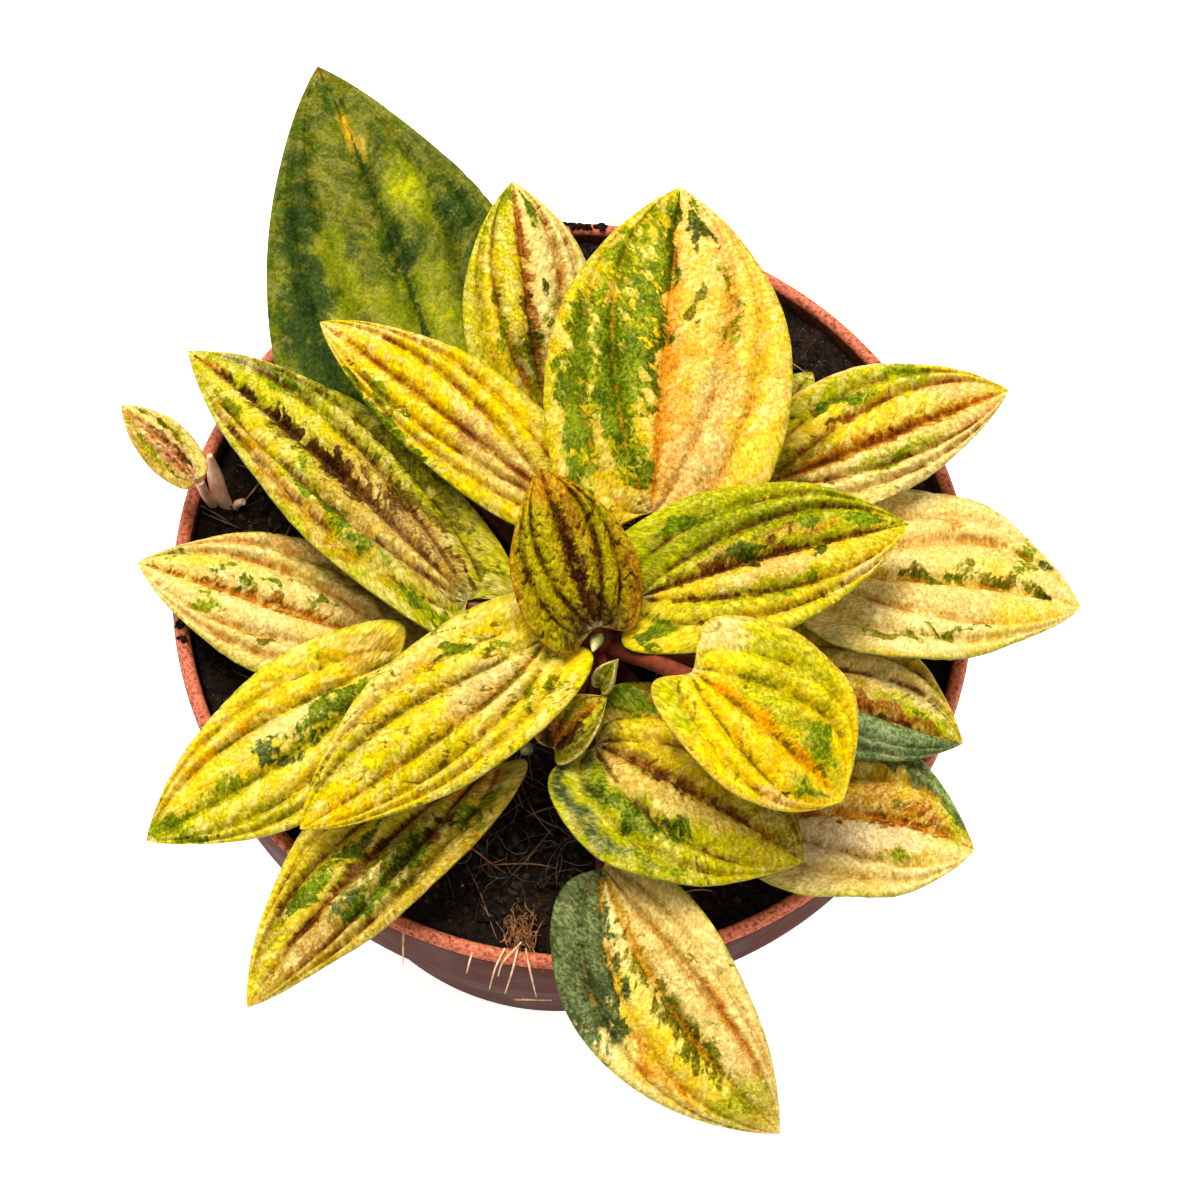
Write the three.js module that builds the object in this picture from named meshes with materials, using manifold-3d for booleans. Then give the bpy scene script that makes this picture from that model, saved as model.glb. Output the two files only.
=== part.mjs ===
// A young peperomia with quilted, heart-shaped leaves in an 80 mm plastic nursery pot.
// Millimetres, +Z up, origin at the middle of the pot's underside.
// Every leaf blade, the crown with its leaf stalks, the soil and the pot are separate closed solids.

import * as THREE from 'three';
import { mergeVertices } from 'three/addons/utils/BufferGeometryUtils.js';
import Module from 'manifold-3d';

const wasm = await Module();
wasm.setup();

// ---------------------------------------------------------------- driving dimensions

const RIM_RADIUS = 40;          // outside of the rim
const POT_HEIGHT = 68;
const WALL = 1.2;
const LIP_WIDTH = 1.5;          // flat top of the rim, with its rounding
const BAND_HEIGHT = 13;         // the upright band below the rim
const BAND_STEP = 1.2;          // how far the band stands out from the body
const FOOT_RADIUS = 27;
const FLOOR = 3.8;              // top of the pot's floor
const BASE_RECESS = 2;          // height of the drained ring above the surface
const CENTRE_PAD_RADIUS = 13;
const RECESS_OUTER_RADIUS = 23;
const DRAIN_RADIUS = 2.5;
const DRAIN_CIRCLE = 18;
const DRAIN_COUNT = 6;
const POT_SIDES = 48;

const SOIL_LEVEL = 64.2;
const SOIL_LUMP = 0.5;
const SOIL_RINGS = 6;

const GAP = 0.3;                // clearance between neighbouring pieces
const SEAT_GAP = 0.45;          // between a blade and its stalk, where the lobes hang lower than the seat

const BLADE_THICKNESS = 0.8;
const VEIN_PITCH = 0.42;        // share of the half-width between two side veins
const STALK_SIDES = 6;
const STALK_STEPS = 5;
const STALK_RADIUS = 0.85;

// Places across a half-blade (0 midrib, 1 margin) that catch each valley and crest of the quilting.
const ACROSS = [0, 0.21, 0.42, 0.63, 0.84, 1];
// Places along a blade between its stalk (0) and its tip (1).
const ALONG = [0.05, 0.12, 0.22, 0.34, 0.47, 0.6, 0.73, 0.85, 0.94];
const ACROSS_SMALL = [0, 0.21, 0.42, 0.7, 1];
const ALONG_SMALL = [0.08, 0.2, 0.36, 0.55, 0.74, 0.9];

// ---------------------------------------------------------------- the leaves

// stalk, tip   where the blade meets its stalk, and where it ends
// left, right  half-widths, seen from the stalk towards the tip
// widest       place of the greatest width, as a share of the length
// base         how round the blade is at its stalk: 0.5 is a plain ellipse, more is narrower
// lobe         how far the two lobes reach back past the stalk, as a share of the length
// point        how full the tip is: 1.5 is slender, 2.5 is blunt
// arch         rise of the midrib's middle above the straight line from stalk to tip
// cup          rise of the margins above the midrib, below zero where they hang
// sway         sideways bow of the midrib, towards the right half
// roll         turn about the midrib in degrees, the right half going down
// ridge        height of the quilting between the veins
// wave         height of the margin's slow wave
// root         height on the crown's stem where the stalk leaves it
const ORDINARY = {
  widest: 0.38, base: 0.62, lobe: 0.16, point: 1.9, arch: 2.4, cup: 0.4, sway: 0, roll: 0, ridge: 0.9,
  wave: 0.4, root: 71,
};
const LEAVES = {
  old_leaf_back_left: {
    ...ORDINARY, stalk: [-12.4, 11.7, 69.6], tip: [-26.9, 54.3, 73.5], left: 14.2, right: 15,
    widest: 0.32, point: 1.6, arch: 2, cup: -1, roll: 3, ridge: 0.7, root: 66.5,
  },
  narrow_leaf_back: {
    ...ORDINARY, stalk: [-3, 15.5, 73.8], tip: [-6.7, 37.7, 80.5], left: 7.6, right: 6.6,
    roll: 6, root: 67.5,
  },
  broad_leaf_back: {
    ...ORDINARY, stalk: [7.1, 2.4, 79.5], tip: [9.6, 33.4, 88], left: 11.5, right: 12.4,
    widest: 0.4, point: 2.1, arch: 3, ridge: 1, root: 74,
  },
  upper_leaf_left: {
    ...ORDINARY, stalk: [-2.1, 4.2, 77.5], tip: [-25.5, 21.8, 80.5], left: 5.6, right: 6.2,
    roll: -6, root: 72,
  },
  long_leaf_left: {
    ...ORDINARY, stalk: [-10.6, -5, 74.5], tip: [-38.7, 20.8, 75.5], left: 7.8, right: 7.2,
    arch: 3, roll: 8, root: 70.5,
  },
  lower_leaf_left: {
    ...ORDINARY, stalk: [-16, -7.8, 68.6], tip: [-43.2, 0.3, 70], left: 8.4, right: 6.8, root: 66.5,
  },
  leaf_front_left: {
    ...ORDINARY, stalk: [-17.2, -11, 74], tip: [-40.9, -28.8, 71.5], left: 9, right: 6.5,
    base: 0.9, roll: -6, root: 69.5,
  },
  upper_leaf_front_left: {
    ...ORDINARY, stalk: [-2.8, -11.4, 81], tip: [-26, -29.5, 78], left: 7.5, right: 7,
    arch: 2.6, root: 75,
  },
  lower_leaf_front_left: {
    ...ORDINARY, stalk: [-8.3, -20.8, 71.7], tip: [-30.9, -44.3, 69], left: 5.6, right: 8,
    arch: 2.6, roll: 6, root: 68.5,
  },
  centre_leaf: {
    ...ORDINARY, stalk: [1.6, -11, 83.5], tip: [-4, 2.1, 91], left: 6.6, right: 5.6,
    widest: 0.36, arch: 1, cup: 0.8, ridge: 0.7, root: 78,
  },
  upper_leaf_right: {
    ...ORDINARY, stalk: [5.9, -7.2, 81.8], tip: [31.4, -0.3, 84.2], left: 7.6, right: 7.8,
    lobe: 0.2, roll: 5, root: 75.5,
  },
  leaf_back_right: {
    ...ORDINARY, stalk: [19, 7.4, 75.5], tip: [42.4, 16.1, 79.5], left: 7.2, right: 6.6,
    roll: 4, root: 70,
  },
  leaf_right: {
    ...ORDINARY, stalk: [24.1, -1.7, 73.5], tip: [49.3, -5, 75], left: 9.6, right: 9.2,
    roll: -6, root: 69,
  },
  lower_leaf_right: {
    ...ORDINARY, stalk: [19.7, -10.2, 70.7], tip: [37.7, -18, 71.5], left: 6.8, right: 7.8,
    arch: 1.8, roll: -6, root: 67.5,
  },
  lower_leaf_front_right: {
    ...ORDINARY, stalk: [17.5, -25.8, 68.8], tip: [38.7, -28.2, 69.5], left: 10.3, right: 7.2,
    point: 2.4, arch: 1.6, roll: -5, root: 66.5,
  },
  cupped_leaf_front_right: {
    ...ORDINARY, stalk: [10.4, -16.2, 86], tip: [24.5, -27.7, 83], left: 8.5, right: 7.6,
    widest: 0.44, lobe: 0.2, point: 2.6, cup: 1.6, root: 76.5,
  },
  leaf_front: {
    ...ORDINARY, stalk: [1.8, -19.9, 75.2], tip: [21.6, -31.2, 75], left: 8.8, right: 10.7,
    base: 0.7, lobe: 0.18, roll: -4, root: 72,
  },
  hanging_leaf_front: {
    ...ORDINARY, stalk: [2.6, -31.2, 72], tip: [19.8, -54.9, 64], left: 6.6, right: 9.6,
    base: 0.8, lobe: 0.1, arch: 4, cup: -0.6, sway: 1.3, roll: 6, root: 69,
  },
  hidden_leaf_back: {
    ...ORDINARY, stalk: [16.8, 10.4, 73], tip: [23.5, 19.8, 75], left: 3.6, right: 3.6,
    arch: 0.8, ridge: 0.3, wave: 0.1, root: 68.5, small: true,
  },
  young_curled_leaf: {
    ...ORDINARY, stalk: [-2.2, -20.9, 76.7], tip: [2.7, -16.8, 80.2], left: 3.2, right: 2.6,
    arch: 0.8, cup: 1.2, ridge: 0.4, wave: 0.1, root: 74, small: true,
  },
  bud_leaf: {
    ...ORDINARY, stalk: [2.1, -15.6, 79.4], tip: [3.3, -14.3, 83.3], left: 1.2, right: 1.2,
    arch: 0.2, cup: 0.6, ridge: 0.1, wave: 0, root: 77.5, small: true,
  },
};

const SEEDLING_LEAF = {
  ...ORDINARY, stalk: [-37.4, 7.1, 75], tip: [-44.9, 14.3, 76.5], left: 2.6, right: 2.6,
  lobe: 0.1, arch: 0.9, cup: 0.5, ridge: 0.25, wave: 0.1, small: true,
};

// ---------------------------------------------------------------- the crown and the seedling

const STEM_PATH = [[2.4, -5.4, 58], [2.4, -6.4, 65], [2.1, -8.4, 71], [1.9, -10, 76], [1.9, -10.6, 79.5]];
const STEM_RADII = [2.4, 2.6, 2.5, 2.2, 1.5];
const BUD_RADIUS = 1.6;         // the growing point at the top of the stem
const SEEDLING_STEM_PATH = [[-35.2, 8.4, 60], [-35.8, 8.4, 64], [-36.8, 7.6, 69], [-37.1, 7.3, 73.6]];
const SEEDLING_STEM_RADII = [0.6, 0.55, 0.45, 0.4];
const SPROUT_PATH = [[-35, 8.8, 61], [-34.9, 9.6, 65], [-35.2, 10.8, 68], [-35.6, 11.3, 70.5]];
const SPROUT_RADII = [0.6, 0.8, 0.7, 0.25];

// ---------------------------------------------------------------- finishes

const finish = (color, roughness) => new THREE.MeshStandardMaterial({ color, roughness, metalness: 0 });
const TERRACOTTA_PLASTIC = finish('#b5695a', 0.45);
const PEAT = finish('#231a17', 0.95);
const LEAF_GREEN_YELLOW = finish('#b9ab35', 0.5);
const OLD_LEAF_GREEN = finish('#4f6428', 0.5);
const STALK_MAROON = finish('#7c3338', 0.5);
const SEEDLING_PINK = finish('#d9b79a', 0.5);

// ---------------------------------------------------------------- closed solids

const toVector = ([x, y, z]) => new THREE.Vector3(x, y, z);

function geometryFrom(points, triangles) {
  const geometry = new THREE.BufferGeometry();
  const flat = points.flatMap((p) => [p.x, p.y, p.z]);
  geometry.setAttribute('position', new THREE.Float32BufferAttribute(flat, 3));
  geometry.setIndex(triangles.flat());
  return geometry;
}

function toManifold(geometry) {
  const bare = geometry.clone();
  bare.deleteAttribute('normal');
  bare.deleteAttribute('uv');
  const merged = mergeVertices(bare, 1e-4);
  return new wasm.Manifold(new wasm.Mesh({
    numProp: 3,
    vertProperties: Float32Array.from(merged.attributes.position.array),
    triVerts: Uint32Array.from(merged.index.array),
  }));
}

function toGeometry(manifold) {
  const mesh = manifold.getMesh();
  const geometry = new THREE.BufferGeometry();
  geometry.setAttribute('position', new THREE.BufferAttribute(Float32Array.from(mesh.vertProperties), 3));
  geometry.setIndex(Array.from(mesh.triVerts));
  return geometry;
}

const union = (geometries) => toGeometry(geometries.map(toManifold).reduce((a, b) => a.add(b)));
const cut = (geometry, cutters) =>
  toGeometry(cutters.map(toManifold).reduce((a, b) => a.subtract(b), toManifold(geometry)));

// A round stem whose radius changes along a smooth curve, closed at both ends.
function taperedStem(path, radii, sides = STALK_SIDES, steps = STALK_STEPS) {
  const curve = new THREE.CatmullRomCurve3(path.map((p) => (Array.isArray(p) ? toVector(p) : p)));
  const frames = curve.computeFrenetFrames(steps, false);
  const points = [];
  for (let i = 0; i <= steps; i += 1) {
    const t = i / steps;
    const centre = curve.getPoint(t);
    const place = t * (radii.length - 1);
    const low = Math.min(Math.floor(place), radii.length - 2);
    const radius = THREE.MathUtils.lerp(radii[low], radii[low + 1], place - low);
    for (let k = 0; k < sides; k += 1) {
      const angle = (2 * Math.PI * k) / sides;
      points.push(centre.clone()
        .addScaledVector(frames.normals[i], radius * Math.cos(angle))
        .addScaledVector(frames.binormals[i], radius * Math.sin(angle)));
    }
  }
  const triangles = [];
  for (let i = 0; i < steps; i += 1) {
    for (let k = 0; k < sides; k += 1) {
      const a = i * sides + k;
      const b = i * sides + ((k + 1) % sides);
      triangles.push([a, b, b + sides], [a, b + sides, a + sides]);
    }
  }
  const end = steps * sides;
  for (let k = 1; k < sides - 1; k += 1) {
    triangles.push([0, k + 1, k], [end, end + k, end + k + 1]);
  }
  return geometryFrom(points, triangles);
}

// ---------------------------------------------------------------- a leaf blade

function bladeFrame(leaf) {
  const stalk = toVector(leaf.stalk);
  const chord = toVector(leaf.tip).sub(stalk);
  const length = chord.length();
  const along = chord.clone().normalize();
  const level = new THREE.Vector3().crossVectors(along, new THREE.Vector3(0, 0, 1)).normalize();
  const right = level.applyAxisAngle(along, THREE.MathUtils.degToRad(leaf.roll));
  const up = new THREE.Vector3().crossVectors(right, along);
  return { stalk, along, right, up, length };
}

// Half-width at v as a share of the greatest: a rounded end at the stalk, then a fuller or finer tip.
function widthShare(v, leaf) {
  if (v < leaf.widest) {
    return (1 - ((leaf.widest - v) / leaf.widest) ** 2) ** leaf.base;
  }
  return 1 - ((v - leaf.widest) / (1 - leaf.widest)) ** leaf.point;
}

// u runs from -1 (left margin) by 0 (midrib) to 1 (right margin), v from 0 (stalk) to 1 (tip).
// The lobes sweep back past the stalk, so every vein starts at the stalk and ends at the tip.
function bladePoint(leaf, frame, u, v) {
  const across = Math.abs(u);
  const sweep = 9 * v * Math.exp(1 - 9 * v);
  const along = (v - leaf.lobe * sweep * across ** 1.5) * frame.length;
  const side = u < 0 ? leaf.left : leaf.right;
  const aside = u * side * widthShare(v, leaf) + leaf.sway * 4 * v * (1 - v);
  const fade = Math.sin(Math.PI * v) ** 0.6;
  const quilting = leaf.ridge * Math.sin((Math.PI * across) / VEIN_PITCH) ** 2 * fade;
  const wave = leaf.wave * across ** 4 * Math.sin(5 * Math.PI * v + 7 * side) * fade;
  const height = leaf.arch * 4 * v * (1 - v) + leaf.cup * across ** 2 * fade + quilting + wave;
  return frame.stalk.clone()
    .addScaledVector(frame.along, along)
    .addScaledVector(frame.right, aside)
    .addScaledVector(frame.up, height);
}

// Direction through the blade at v, square to the arched midrib.
function throughBlade(leaf, frame, v) {
  const slope = (leaf.arch * 4 * (1 - 2 * v)) / frame.length;
  return frame.up.clone().addScaledVector(frame.along, -slope).normalize();
}

// Both faces have the same grid and the same diagonals, so that they never cross.
function bladeGeometry(leaf) {
  const frame = bladeFrame(leaf);
  const half = leaf.small ? ACROSS_SMALL : ACROSS;
  const rows = leaf.small ? ALONG_SMALL : ALONG;
  const places = [...half.slice(1).reverse().map((u) => -u), ...half];
  const columns = places.length;
  const top = [bladePoint(leaf, frame, 0, 0)];
  const through = [throughBlade(leaf, frame, 0)];
  rows.forEach((v) => places.forEach((u) => {
    top.push(bladePoint(leaf, frame, u, v));
    through.push(throughBlade(leaf, frame, v));
  }));
  top.push(bladePoint(leaf, frame, 0, 1));
  through.push(throughBlade(leaf, frame, 1));

  const bottom = top.map((p, i) => p.clone().addScaledVector(through[i], -BLADE_THICKNESS));
  const count = top.length;
  const last = count - 1;
  const at = (row, column) => 1 + row * columns + column;
  const face = [];
  for (let c = 0; c < columns - 1; c += 1) {
    face.push([0, at(0, c + 1), at(0, c)]);
    face.push([at(rows.length - 1, c), at(rows.length - 1, c + 1), last]);
    for (let r = 0; r < rows.length - 1; r += 1) {
      const [a, b, d, e] = [at(r, c), at(r, c + 1), at(r + 1, c), at(r + 1, c + 1)];
      if (c < (columns - 1) / 2) {
        face.push([a, b, e], [a, e, d]);
      } else {
        face.push([a, b, d], [b, e, d]);
      }
    }
  }
  const edgeOf = (column) => [0, ...rows.map((_, r) => at(r, column)), last];
  const rim = [];
  const addRim = (edge) => {
    for (let i = 0; i < edge.length - 1; i += 1) {
      const [p, q] = [edge[i], edge[i + 1]];
      rim.push([p, q, q + count], [p, q + count, p + count]);
    }
  };
  addRim(edgeOf(columns - 1).reverse());
  addRim(edgeOf(0));
  const upper = face.map(([a, b, c]) => [a, b, c]);
  const lower = face.map(([a, b, c]) => [a + count, c + count, b + count]);
  return geometryFrom([...top, ...bottom], [...upper, ...lower, ...rim]);
}

// ---------------------------------------------------------------- the crown

const stemCurve = new THREE.CatmullRomCurve3(STEM_PATH.map(toVector));

function stemPointAt(height) {
  let low = 0;
  let high = 1;
  for (let i = 0; i < 30; i += 1) {
    const middle = (low + high) / 2;
    if (stemCurve.getPoint(middle).z < height) {
      low = middle;
    } else {
      high = middle;
    }
  }
  return stemCurve.getPoint(low);
}

// A leaf stalk leaves the stem, rises outwards and ends under its blade, GAP clear of it.
function leafStalk(leaf) {
  const frame = bladeFrame(leaf);
  const through = throughBlade(leaf, frame, 0);
  const thin = leaf.small ? 0.6 : 1;
  const radius = STALK_RADIUS * thin;
  const drop = BLADE_THICKNESS + SEAT_GAP + radius;
  const end = frame.stalk.clone().addScaledVector(through, -drop);
  const start = stemPointAt(leaf.root);
  const reach = end.clone().sub(start);
  const middle = start.clone().addScaledVector(reach, 0.5);
  middle.z += 0.06 * reach.length();
  return taperedStem([start, middle, end], [radius * 1.25, radius, radius]);
}

function crownGeometry() {
  const stem = taperedStem(STEM_PATH, STEM_RADII, 8, 8);
  const bud = new THREE.SphereGeometry(BUD_RADIUS, 8, 6).translate(...STEM_PATH.at(-1));
  return union([stem, bud, ...Object.values(LEAVES).map(leafStalk)]);
}

// ---------------------------------------------------------------- the pot and the soil

const BAND_BOTTOM = POT_HEIGHT - BAND_HEIGHT;
const BODY_TOP_RADIUS = RIM_RADIUS - BAND_STEP - 0.8;

function innerRadius(z) {
  const points = [
    [FLOOR, FOOT_RADIUS - WALL],
    [BAND_BOTTOM - 1, BODY_TOP_RADIUS - WALL],
    [BAND_BOTTOM + 1, RIM_RADIUS - 2.2],
    [POT_HEIGHT, RIM_RADIUS - LIP_WIDTH],
  ];
  const k = Math.max(0, points.findIndex(([height]) => height >= z) - 1);
  const [z0, r0] = points[k];
  const [z1, r1] = points[k + 1];
  return THREE.MathUtils.mapLinear(z, z0, z1, r0, r1);
}

function potGeometry() {
  const profile = [
    [0, 0], [CENTRE_PAD_RADIUS, 0], [CENTRE_PAD_RADIUS + 0.8, BASE_RECESS],
    [RECESS_OUTER_RADIUS - 0.8, BASE_RECESS], [RECESS_OUTER_RADIUS, 0],
    [FOOT_RADIUS - 0.8, 0], [FOOT_RADIUS, 0.8],
    [BODY_TOP_RADIUS, BAND_BOTTOM - 0.5], [RIM_RADIUS - 0.8, BAND_BOTTOM],
    [RIM_RADIUS, POT_HEIGHT - 0.9], [RIM_RADIUS - 0.5, POT_HEIGHT],
    [RIM_RADIUS - LIP_WIDTH + 0.4, POT_HEIGHT], [innerRadius(POT_HEIGHT - 0.5), POT_HEIGHT - 0.5],
    [innerRadius(BAND_BOTTOM + 1), BAND_BOTTOM + 1], [innerRadius(BAND_BOTTOM - 1), BAND_BOTTOM - 1],
    [innerRadius(FLOOR), FLOOR], [0, FLOOR],
  ];
  const body = new THREE.LatheGeometry(profile.map(([r, z]) => new THREE.Vector2(r, z)), POT_SIDES);
  body.rotateX(Math.PI / 2);
  const drains = Array.from({ length: DRAIN_COUNT }, (_, i) => {
    const angle = (2 * Math.PI * i) / DRAIN_COUNT;
    const drain = new THREE.CylinderGeometry(DRAIN_RADIUS, DRAIN_RADIUS, FLOOR * 2, 12);
    drain.rotateX(Math.PI / 2);
    return drain.translate(DRAIN_CIRCLE * Math.cos(angle), DRAIN_CIRCLE * Math.sin(angle), FLOOR / 2);
  });
  return cut(body, drains);
}

function soilHeight(x, y) {
  const lumps = Math.sin(0.55 * x + 0.4) * Math.cos(0.47 * y) + 0.6 * Math.sin(0.9 * y - 0.7 * x);
  return SOIL_LEVEL + SOIL_LUMP * lumps;
}

// A plug that fills the pot, with a lumpy top and plain holes for the stems.
function soilGeometry() {
  const points = [];
  const rings = [];
  const addRing = (radiusAt, heightAt) => {
    const ring = [];
    for (let k = 0; k < POT_SIDES; k += 1) {
      const angle = (2 * Math.PI * k) / POT_SIDES;
      const [x, y] = [radiusAt * Math.cos(angle), radiusAt * Math.sin(angle)];
      ring.push(points.push(new THREE.Vector3(x, y, heightAt(x, y))) - 1);
    }
    rings.push(ring);
  };
  const bottom = FLOOR + GAP;
  [bottom, BAND_BOTTOM - 1, BAND_BOTTOM + 1].forEach((z) => addRing(innerRadius(z) - GAP, () => z));
  const topRadius = innerRadius(SOIL_LEVEL - 1) - GAP;
  for (let i = SOIL_RINGS; i > 0; i -= 1) {
    addRing((topRadius * i) / SOIL_RINGS, soilHeight);
  }
  const low = points.push(new THREE.Vector3(0, 0, bottom)) - 1;
  const high = points.push(new THREE.Vector3(0, 0, soilHeight(0, 0))) - 1;
  const triangles = [];
  for (let k = 0; k < POT_SIDES; k += 1) {
    const next = (k + 1) % POT_SIDES;
    triangles.push([low, rings[0][next], rings[0][k]]);
    triangles.push([high, rings.at(-1)[k], rings.at(-1)[next]]);
    for (let r = 0; r < rings.length - 1; r += 1) {
      const [a, b, c, d] = [rings[r][k], rings[r][next], rings[r + 1][k], rings[r + 1][next]];
      triangles.push([a, b, d], [a, d, c]);
    }
  }
  const holeFor = (path, radii, sides) => {
    const [foot, ...rest] = path;
    const deeper = [[foot[0], foot[1], foot[2] - GAP], ...rest];
    return taperedStem(deeper, radii.map((r) => r + 1.2 * GAP), sides, 8);
  };
  return cut(geometryFrom(points, triangles), [
    holeFor(STEM_PATH, STEM_RADII, 8),
    holeFor(SEEDLING_STEM_PATH, SEEDLING_STEM_RADII, 6),
    holeFor(SPROUT_PATH, SPROUT_RADII, 6),
  ]);
}

// ---------------------------------------------------------------- the seedling at the rim

function seedlingStemGeometry() {
  return union([
    taperedStem(SEEDLING_STEM_PATH, SEEDLING_STEM_RADII, 6, 8),
    taperedStem(SPROUT_PATH, SPROUT_RADII, 6, 8),
  ]);
}

// ---------------------------------------------------------------- the assembly

function named(name, geometry, material) {
  const mesh = new THREE.Mesh(geometry, material);
  mesh.name = name;
  return mesh;
}

const plant = new THREE.Group();
plant.add(named('pot', potGeometry(), TERRACOTTA_PLASTIC));
plant.add(named('soil', soilGeometry(), PEAT));
plant.add(named('crown_and_stalks', crownGeometry(), STALK_MAROON));
Object.entries(LEAVES).forEach(([name, leaf]) => {
  const material = name === 'old_leaf_back_left' ? OLD_LEAF_GREEN : LEAF_GREEN_YELLOW;
  plant.add(named(name, bladeGeometry(leaf), material));
});
plant.add(named('seedling_leaf', bladeGeometry(SEEDLING_LEAF), SEEDLING_PINK));
plant.add(named('seedling_stem_and_sprout', seedlingStemGeometry(), SEEDLING_PINK));

export default plant;
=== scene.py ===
"""A potted peperomia with variegated leaves: its looks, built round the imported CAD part.

Everything is in metres and in the part's own frame, so each piece goes where its solid is. The sizes
below are in millimetres, as a grower would measure them, and MM turns them into metres.
"""

import logging
import math
from dataclasses import dataclass, field
from enum import Enum
from functools import partial
from typing import Any, Callable, Sequence

import bpy
import numpy as np
from mathutils import Matrix, Vector


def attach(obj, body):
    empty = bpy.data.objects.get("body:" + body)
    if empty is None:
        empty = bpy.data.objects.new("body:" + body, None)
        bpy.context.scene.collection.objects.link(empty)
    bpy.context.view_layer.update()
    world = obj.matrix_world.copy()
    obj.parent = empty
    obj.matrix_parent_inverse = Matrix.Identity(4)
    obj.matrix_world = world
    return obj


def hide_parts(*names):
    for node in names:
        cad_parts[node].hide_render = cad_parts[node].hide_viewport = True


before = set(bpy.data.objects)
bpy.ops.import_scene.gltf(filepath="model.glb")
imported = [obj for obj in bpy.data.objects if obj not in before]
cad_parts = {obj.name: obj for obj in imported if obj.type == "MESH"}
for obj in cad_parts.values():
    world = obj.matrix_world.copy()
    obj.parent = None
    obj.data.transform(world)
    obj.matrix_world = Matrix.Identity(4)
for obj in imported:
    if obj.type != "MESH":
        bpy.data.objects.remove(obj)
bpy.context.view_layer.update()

LOG = logging.getLogger("peperomia")
MM = 0.001
BODY = "root"
RANDOM_SEED = 20

Point = tuple[float, float, float]
Colour = tuple[float, float, float, float]
Face = tuple[int, ...]
Adder = Callable[..., bpy.types.Node]


class Tint(Enum):
    """The colours of the plant, its pot and its peat, as sRGB hex values."""

    CREAM = "#ead08a"
    PALE = "#f0dc98"
    BUTTER = "#e4c828"
    YELLOW = "#e6c800"
    GOLD = "#e6ac04"
    STRAW = "#c6aa3a"
    LIME = "#aeae02"
    SPRING = "#828c02"
    MUSTARD = "#a08a06"
    OLIVE = "#746c08"
    GREEN = "#627604"
    DEEP_GREEN = "#405204"
    GREY_GREEN = "#4a5b38"
    SAGE = "#76865a"
    OLD_GREEN = "#2c4210"
    PEACH = "#e6bc74"
    APRICOT = "#da9426"
    OCHRE = "#bc8012"
    RUST = "#98591e"
    BROWN = "#6c4018"
    UMBER = "#44260f"
    MOSS = "#55610f"
    MAROON = "#86432f"
    WINE = "#52261c"
    BLUSH = "#c9907a"
    SHELL = "#e6cdb4"
    TAN = "#b48e48"
    SILVER = "#a9a283"
    UNDERSIDE = "#9a9950"


class Slot(Enum):
    """The record's material slots."""

    POT = "pot_plastic"
    PEAT = "peat"
    STALK = "stalk"
    LEAF = "leaf"
    OLD_LEAF = "old_leaf"
    SEEDLING = "seedling"


class Fineness(Enum):
    """How many rows and columns of faces each side of a blade has."""

    LARGE = (150, 76)
    SMALL = (56, 36)


# ---- Small tools ----


def linear(colour: Tint | str) -> Colour:
    """Turns an sRGB hex colour into the linear one that the shaders and attributes hold.

    Args:
        colour: one of the plant's tints, or a colour as "#rrggbb".

    Returns:
        Red, green, blue and an alpha of 1.
    """
    code = colour.value if isinstance(colour, Tint) else colour
    channels = [int(code[i : i + 2], 16) / 255 for i in (1, 3, 5)]
    red, green, blue = (c / 12.92 if c <= 0.04045 else ((c + 0.055) / 1.055) ** 2.4 for c in channels)
    return (red, green, blue, 1.0)


def add_node(tree: bpy.types.NodeTree, kind: str, *feeds: Any, **settings: Any) -> bpy.types.Node:
    """Adds one node to a tree, with its settings and what feeds its inputs.

    Args:
        tree: the tree that gets the node.
        kind: the node's type, without its ShaderNode if it has one.
        *feeds: for each input in order, what feeds it: a socket, a node (its first output in use), a
            tint or a plain value; or one dictionary of the same by input name or index.
        **settings: the node's own properties.

    Returns:
        The node.
    """
    node = tree.nodes.new(kind if "Node" in kind else "ShaderNode" + kind)
    for name, value in settings.items():
        setattr(node, name, value)
    if feeds and isinstance(feeds[0], dict):
        pairs = [(node.inputs[key], value) for key, value in feeds[0].items()]
    else:
        pairs = list(zip([socket for socket in node.inputs if socket.enabled], feeds))
    for socket, value in pairs:
        if isinstance(value, bpy.types.Node):
            value = next(output for output in value.outputs if output.enabled)
        if isinstance(value, bpy.types.NodeSocket):
            tree.links.new(value, socket)
        else:
            is_colour = isinstance(value, Tint) or str(value).startswith("#")
            socket.default_value = linear(value) if is_colour else value
    return node


def new_material(name: str) -> tuple[bpy.types.Material, Adder]:
    """Makes an empty node material.

    Args:
        name: what the material is.

    Returns:
        The material, and what adds a node to it.
    """
    material = bpy.data.materials.new(name)
    material.use_nodes = True
    material.node_tree.nodes.clear()
    return material, partial(add_node, material.node_tree)


def new_tree(name: str, inputs: dict[str, tuple[str, Any]]) -> tuple[bpy.types.NodeTree, Adder, Any]:
    """Makes a Geometry Nodes tree that takes a geometry and a finish and gives a geometry.

    Args:
        name: what it makes.
        inputs: its other inputs by name, each with its kind of socket and its default.

    Returns:
        The tree, what adds a node to it, and the sockets of what it is given.
    """
    tree = bpy.data.node_groups.new(name, "GeometryNodeTree")
    sockets = {"Geometry": ("Geometry", None), **inputs, "Finish": ("Material", None)}
    for label, (kind, default) in sockets.items():
        socket = tree.interface.new_socket(label, in_out="INPUT", socket_type="NodeSocket" + kind)
        if default is not None:
            socket.default_value = default
    tree.interface.new_socket("Geometry", in_out="OUTPUT", socket_type="NodeSocketGeometry")
    add = partial(add_node, tree)
    return tree, add, add("NodeGroupInput").outputs


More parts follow.
